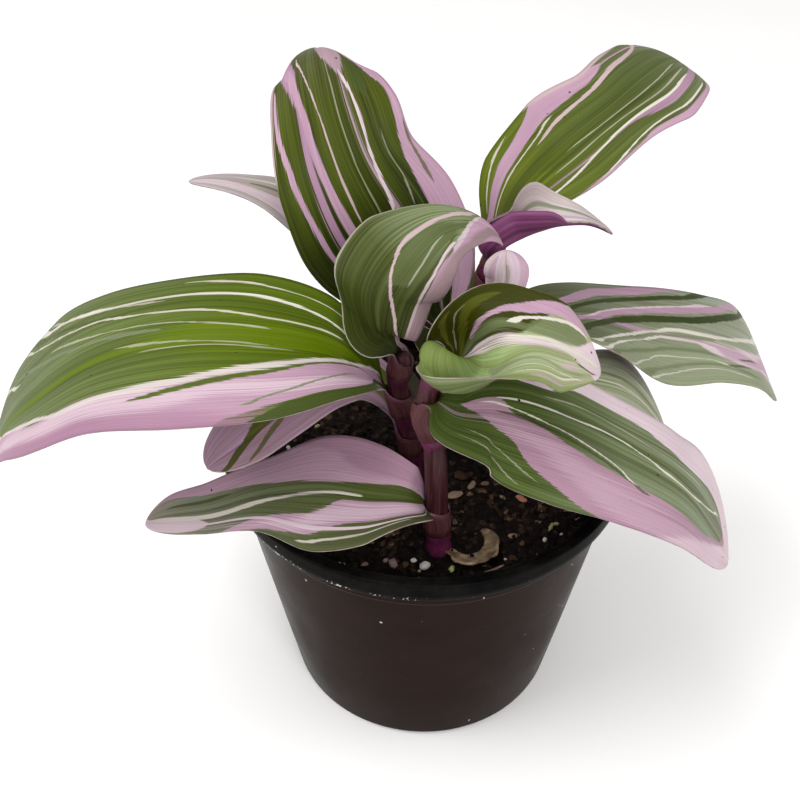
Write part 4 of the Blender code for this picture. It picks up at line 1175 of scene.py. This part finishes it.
# Long leaf of the right shoot, level and then drooping, behind the front ones. Grey-green with
# curved white lines and dark and pink stripes that run across to its margin.
grow_leaf("right_long_leaf", "leaf_right_back", "stem_right", (90.5, 95.5), 10, (0.9, 1.5, 0), blade=[
    (20, 8.5, 100, -0.5, 0, 1, 6, 6, 50, 50),
    (28, 11, 103, -0.3, 0, 1, 11, 11, 20, 20),
    (40, 14, 101.5, 0.1, 0, 1, 15, 15, 0, 0),
    (57, 18, 94, 0.3, -0.1, 1, 17, 17, -8, -8),
    (74, 20, 88, 0.4, -0.1, 1, 21, 13.5, -8, -8),
    (85.5, 19, 82.5, 0.6, 0, 0.9, 29, 12, -5, -5),
    (89, 18, 78, 0.85, 0, 0.6, 28, 10.5, -3, -3),
    (91, 17, 74, 1, 0, 0.4, 0, 0, 0, 0)], ground=[
    (0, 76, 88, 44), (0.3, 102, 112, 76), (0.5, 134, 143, 112), (0.8, 162, 170, 146),
    (1, 184, 178, 166)], marks=[
    border(paint(150, 160, 128), RIGHT, [(30, 90), (42, 50), (55, 22), (70, 40), (80, 60)], 12, 0.8),
    patch(PALE_PINK, [(62, 6, 12), (68, -2, 34), (75, -4, 46), (80, -8, 40), (87, -30, 30), (94, -70, 60),
        (100, LEFT, RIGHT)], 6, 0.95),
    patch(PINK, [(68, 0, 16), (75, -2, 36), (80, 0, 34), (86, -20, 10)], 12, 0.8),
    patch(PINK, [(24, -34, -24), (32, -58, -36), (40, -80, -56), (50, -96, -74), (58, LEFT, -88),
        (66, LEFT, -102)], 2.5),
    line(PINK, 7.5, [(22, 30), (30, 14), (36, 0), (42, -18), (50, -37), (56, -46), (62, -53, 6),
        (70, -66, 6), (76, -82, 7), (84, -110, 10)], 3),
    line(PALE_PINK, 1.6, [(30, 6), (38, -12), (46, -34), (54, -50), (62, -60), (72, -76)]),
    line(DARK_GREEN, 5, [(26, -12), (33, -25), (40, -42), (48, -60), (56, -72), (64, -83), (72, -102)], 3),
    line(DARK_GREEN, 7, [(24, 62), (33, 32), (42, 0), (50, -18), (58, -29), (64, -36), (72, -53),
        (80, -74, 5), (87, -102, 5)], 3),
    line(WHITE, 3.2, [(28, 90, 2), (34, 68), (39, 45), (46, 20), (52, 3), (58, -8), (66, -10), (74, -17),
        (82, -32), (90, -55)], 2.5),
    line(WHITE, 2.6, [(30, 105, 2), (36, 75), (42, 46), (50, 22), (56, 12), (62, 12), (70, 20)], 2.5),
    line(GREY_GREEN, 3, [(32, 72), (38, 56), (46, 30), (54, 6), (62, 0), (70, -6)], strength=0.9),
    line(WHITE, 1.2, [(38, 105), (46, 72), (56, 50), (66, 50), (76, 62)], strength=0.6),
    line(WHITE, 1.2, [(44, 105), (52, 84), (60, 72), (70, 70), (80, 76)], strength=0.6),
    line(DEEP_GREEN, 3.5, [(30, 110), (38, 82), (48, 50), (58, 34), (68, 36), (78, 50)], 5, 0.5),
    line(DEEP_GREEN, 3, [(40, 110), (50, 78), (60, 62), (72, 60), (84, 70)], 5, 0.45),
    line(DEEP_GREEN, 3, [(74, 28), (78, 22), (83, 12)], strength=0.8),
    line(DEEP_GREEN, 3, [(70, 56), (75, 50), (80, 44)], strength=0.7)],
    streaks=0.24, seed=47.7)


# Upper leaf of the right shoot, broad and rising to the back right. Olive green with a pink band
# along the left and two white lines that come in from the right margin.
grow_leaf("top_right_leaf", "leaf_top_right", "stem_right", (113, 117), 75, (1.2, 1.5, 0), blade=[
    (17.5, 19.5, 123.8, -0.5, -0.6, 1, 5.5, 4.5, 50, 30),
    (22.5, 24, 130.5, -0.4, -0.6, 1, 12.5, 10, 20, 20),
    (32, 26.5, 140, -0.3, -0.6, 1, 15.5, 12, 0, 0),
    (43, 31.5, 147.5, -0.2, -0.4, 1, 13.5, 12, -8, -8),
    (50.5, 37.5, 151, 0.1, -0.2, 1, 14, 14.5, -8, -8),
    (56.5, 42.5, 152.5, 0.3, 0, 1, 13.5, 11.5, -12, -8),
    (61, 49, 150, 0.7, 0.4, 0.7, 0, 0, -8, -5)], ground=[
    (0, 66, 80, 8), (0.3, 98, 112, 16), (0.5, 88, 102, 30), (0.7, 92, 104, 56), (0.85, 104, 114, 76),
    (1, 116, 120, 88)], marks=[
    patch(paint(66, 78, 20), [(36, -20, 0), (50, -35, 30), (64, -40, 30), (78, -50, 20),
        (88, -60, 10)], 15, 0.45),
    patch(PINK, [(16, -90, -44), (25, -66, -44), (33, -70, -47), (40, -80, -54), (46, -95, -60),
        (52, LEFT, -62), (58, LEFT, -68), (64, -100, -72), (70, -84, -80)]),
    border(BLUSH, LEFT, [(40, -102), (50, -92), (60, -90), (70, -93), (80, -100)], 4, 0.9),
    line(BLUSH, 3, [(40, -34, 1.2), (48, -42), (55, -48), (62, -55, 4.5), (70, -62, 5), (78, -68, 4),
        (84, -80), (90, -102)], 2),
    line(CREAM, 1.4, [(20, -74), (30, -80), (38, -92)]),
    line(CREAM, 1.4, [(20, -36), (30, -38), (42, -46), (50, -56)]),
    line(CREAM, 1, [(45, 10), (60, 14), (75, 12), (88, 0)], strength=0.6),
    line(CREAM, 1, [(40, 32), (55, 30), (72, 32), (88, 22)], strength=0.6),
    patch(LILAC, [(60, 48, 51), (67, 46, 60), (75, 45, 63), (83, 40, 60), (92, 34, 50)], 4, 0.9),
    line(WHITE, 2.2, [(30, 75), (36, 68), (42, 62), (48, 54), (54, 49), (60, 46), (67, 45, 3), (75, 46),
        (85, 40)]),
    line(WHITE, 1.8, [(43, 100), (50, 95), (57, 88), (63, 82), (69, 78), (77, 80), (86, 80)]),
    border(PINK, RIGHT, [(40, 100), (50, 95), (58, 96), (64, 88), (72, 86), (85, 90)], 4)],
    streaks=0.36, seed=51.1)


# New leaf at the top of the right shoot, still rolled, purple outside and pale pink inside. It
# opens towards its tip, where thin grey-green and pink stripes show.
grow_leaf("young_rolled_leaf", "leaf_young_rolled", "stem_right", (120.4, 122), -10, (0, 2, 0), blade=[
    (17, 6.6, 125.8, -0.6, 0, 0.8, 9, 9, 165, 165),
    (21.3, 6.7, 128.8, -0.6, 0, 0.8, 9.5, 10, 165, 165),
    (25, 7, 130.6, -0.6, -0.1, 0.8, 11.5, 9, 110, 120),
    (29.5, 8, 130.8, -0.4, 0, 0.85, 8.5, 4, 70, 60),
    (36, 9, 130.2, 0, 0.2, 1, 6, 2.5, 30, 30),
    (41.5, 9.5, 127, 0.4, 0.1, 1, 0, 0, 0, 0)], ground=[
    (0, 120, 110, 90), (0.3, 196, 176, 182), (0.6, 216, 204, 206), (1, 204, 190, 190)], marks=[
    line(GREY_GREEN, 9, [(10, 10), (50, 15), (85, 10)], 5, 0.9),
    line(GREY_GREEN, 5, [(30, -50), (60, -55), (88, -40)], 4, 0.9),
    line(PINK, 5, [(30, -26), (60, -24), (85, -16)], 4, 0.8),
    border(OLIVE, RIGHT, [(10, 86), (60, 86), (90, 90)], 5)],
    streaks=0.14, seed=55.9)
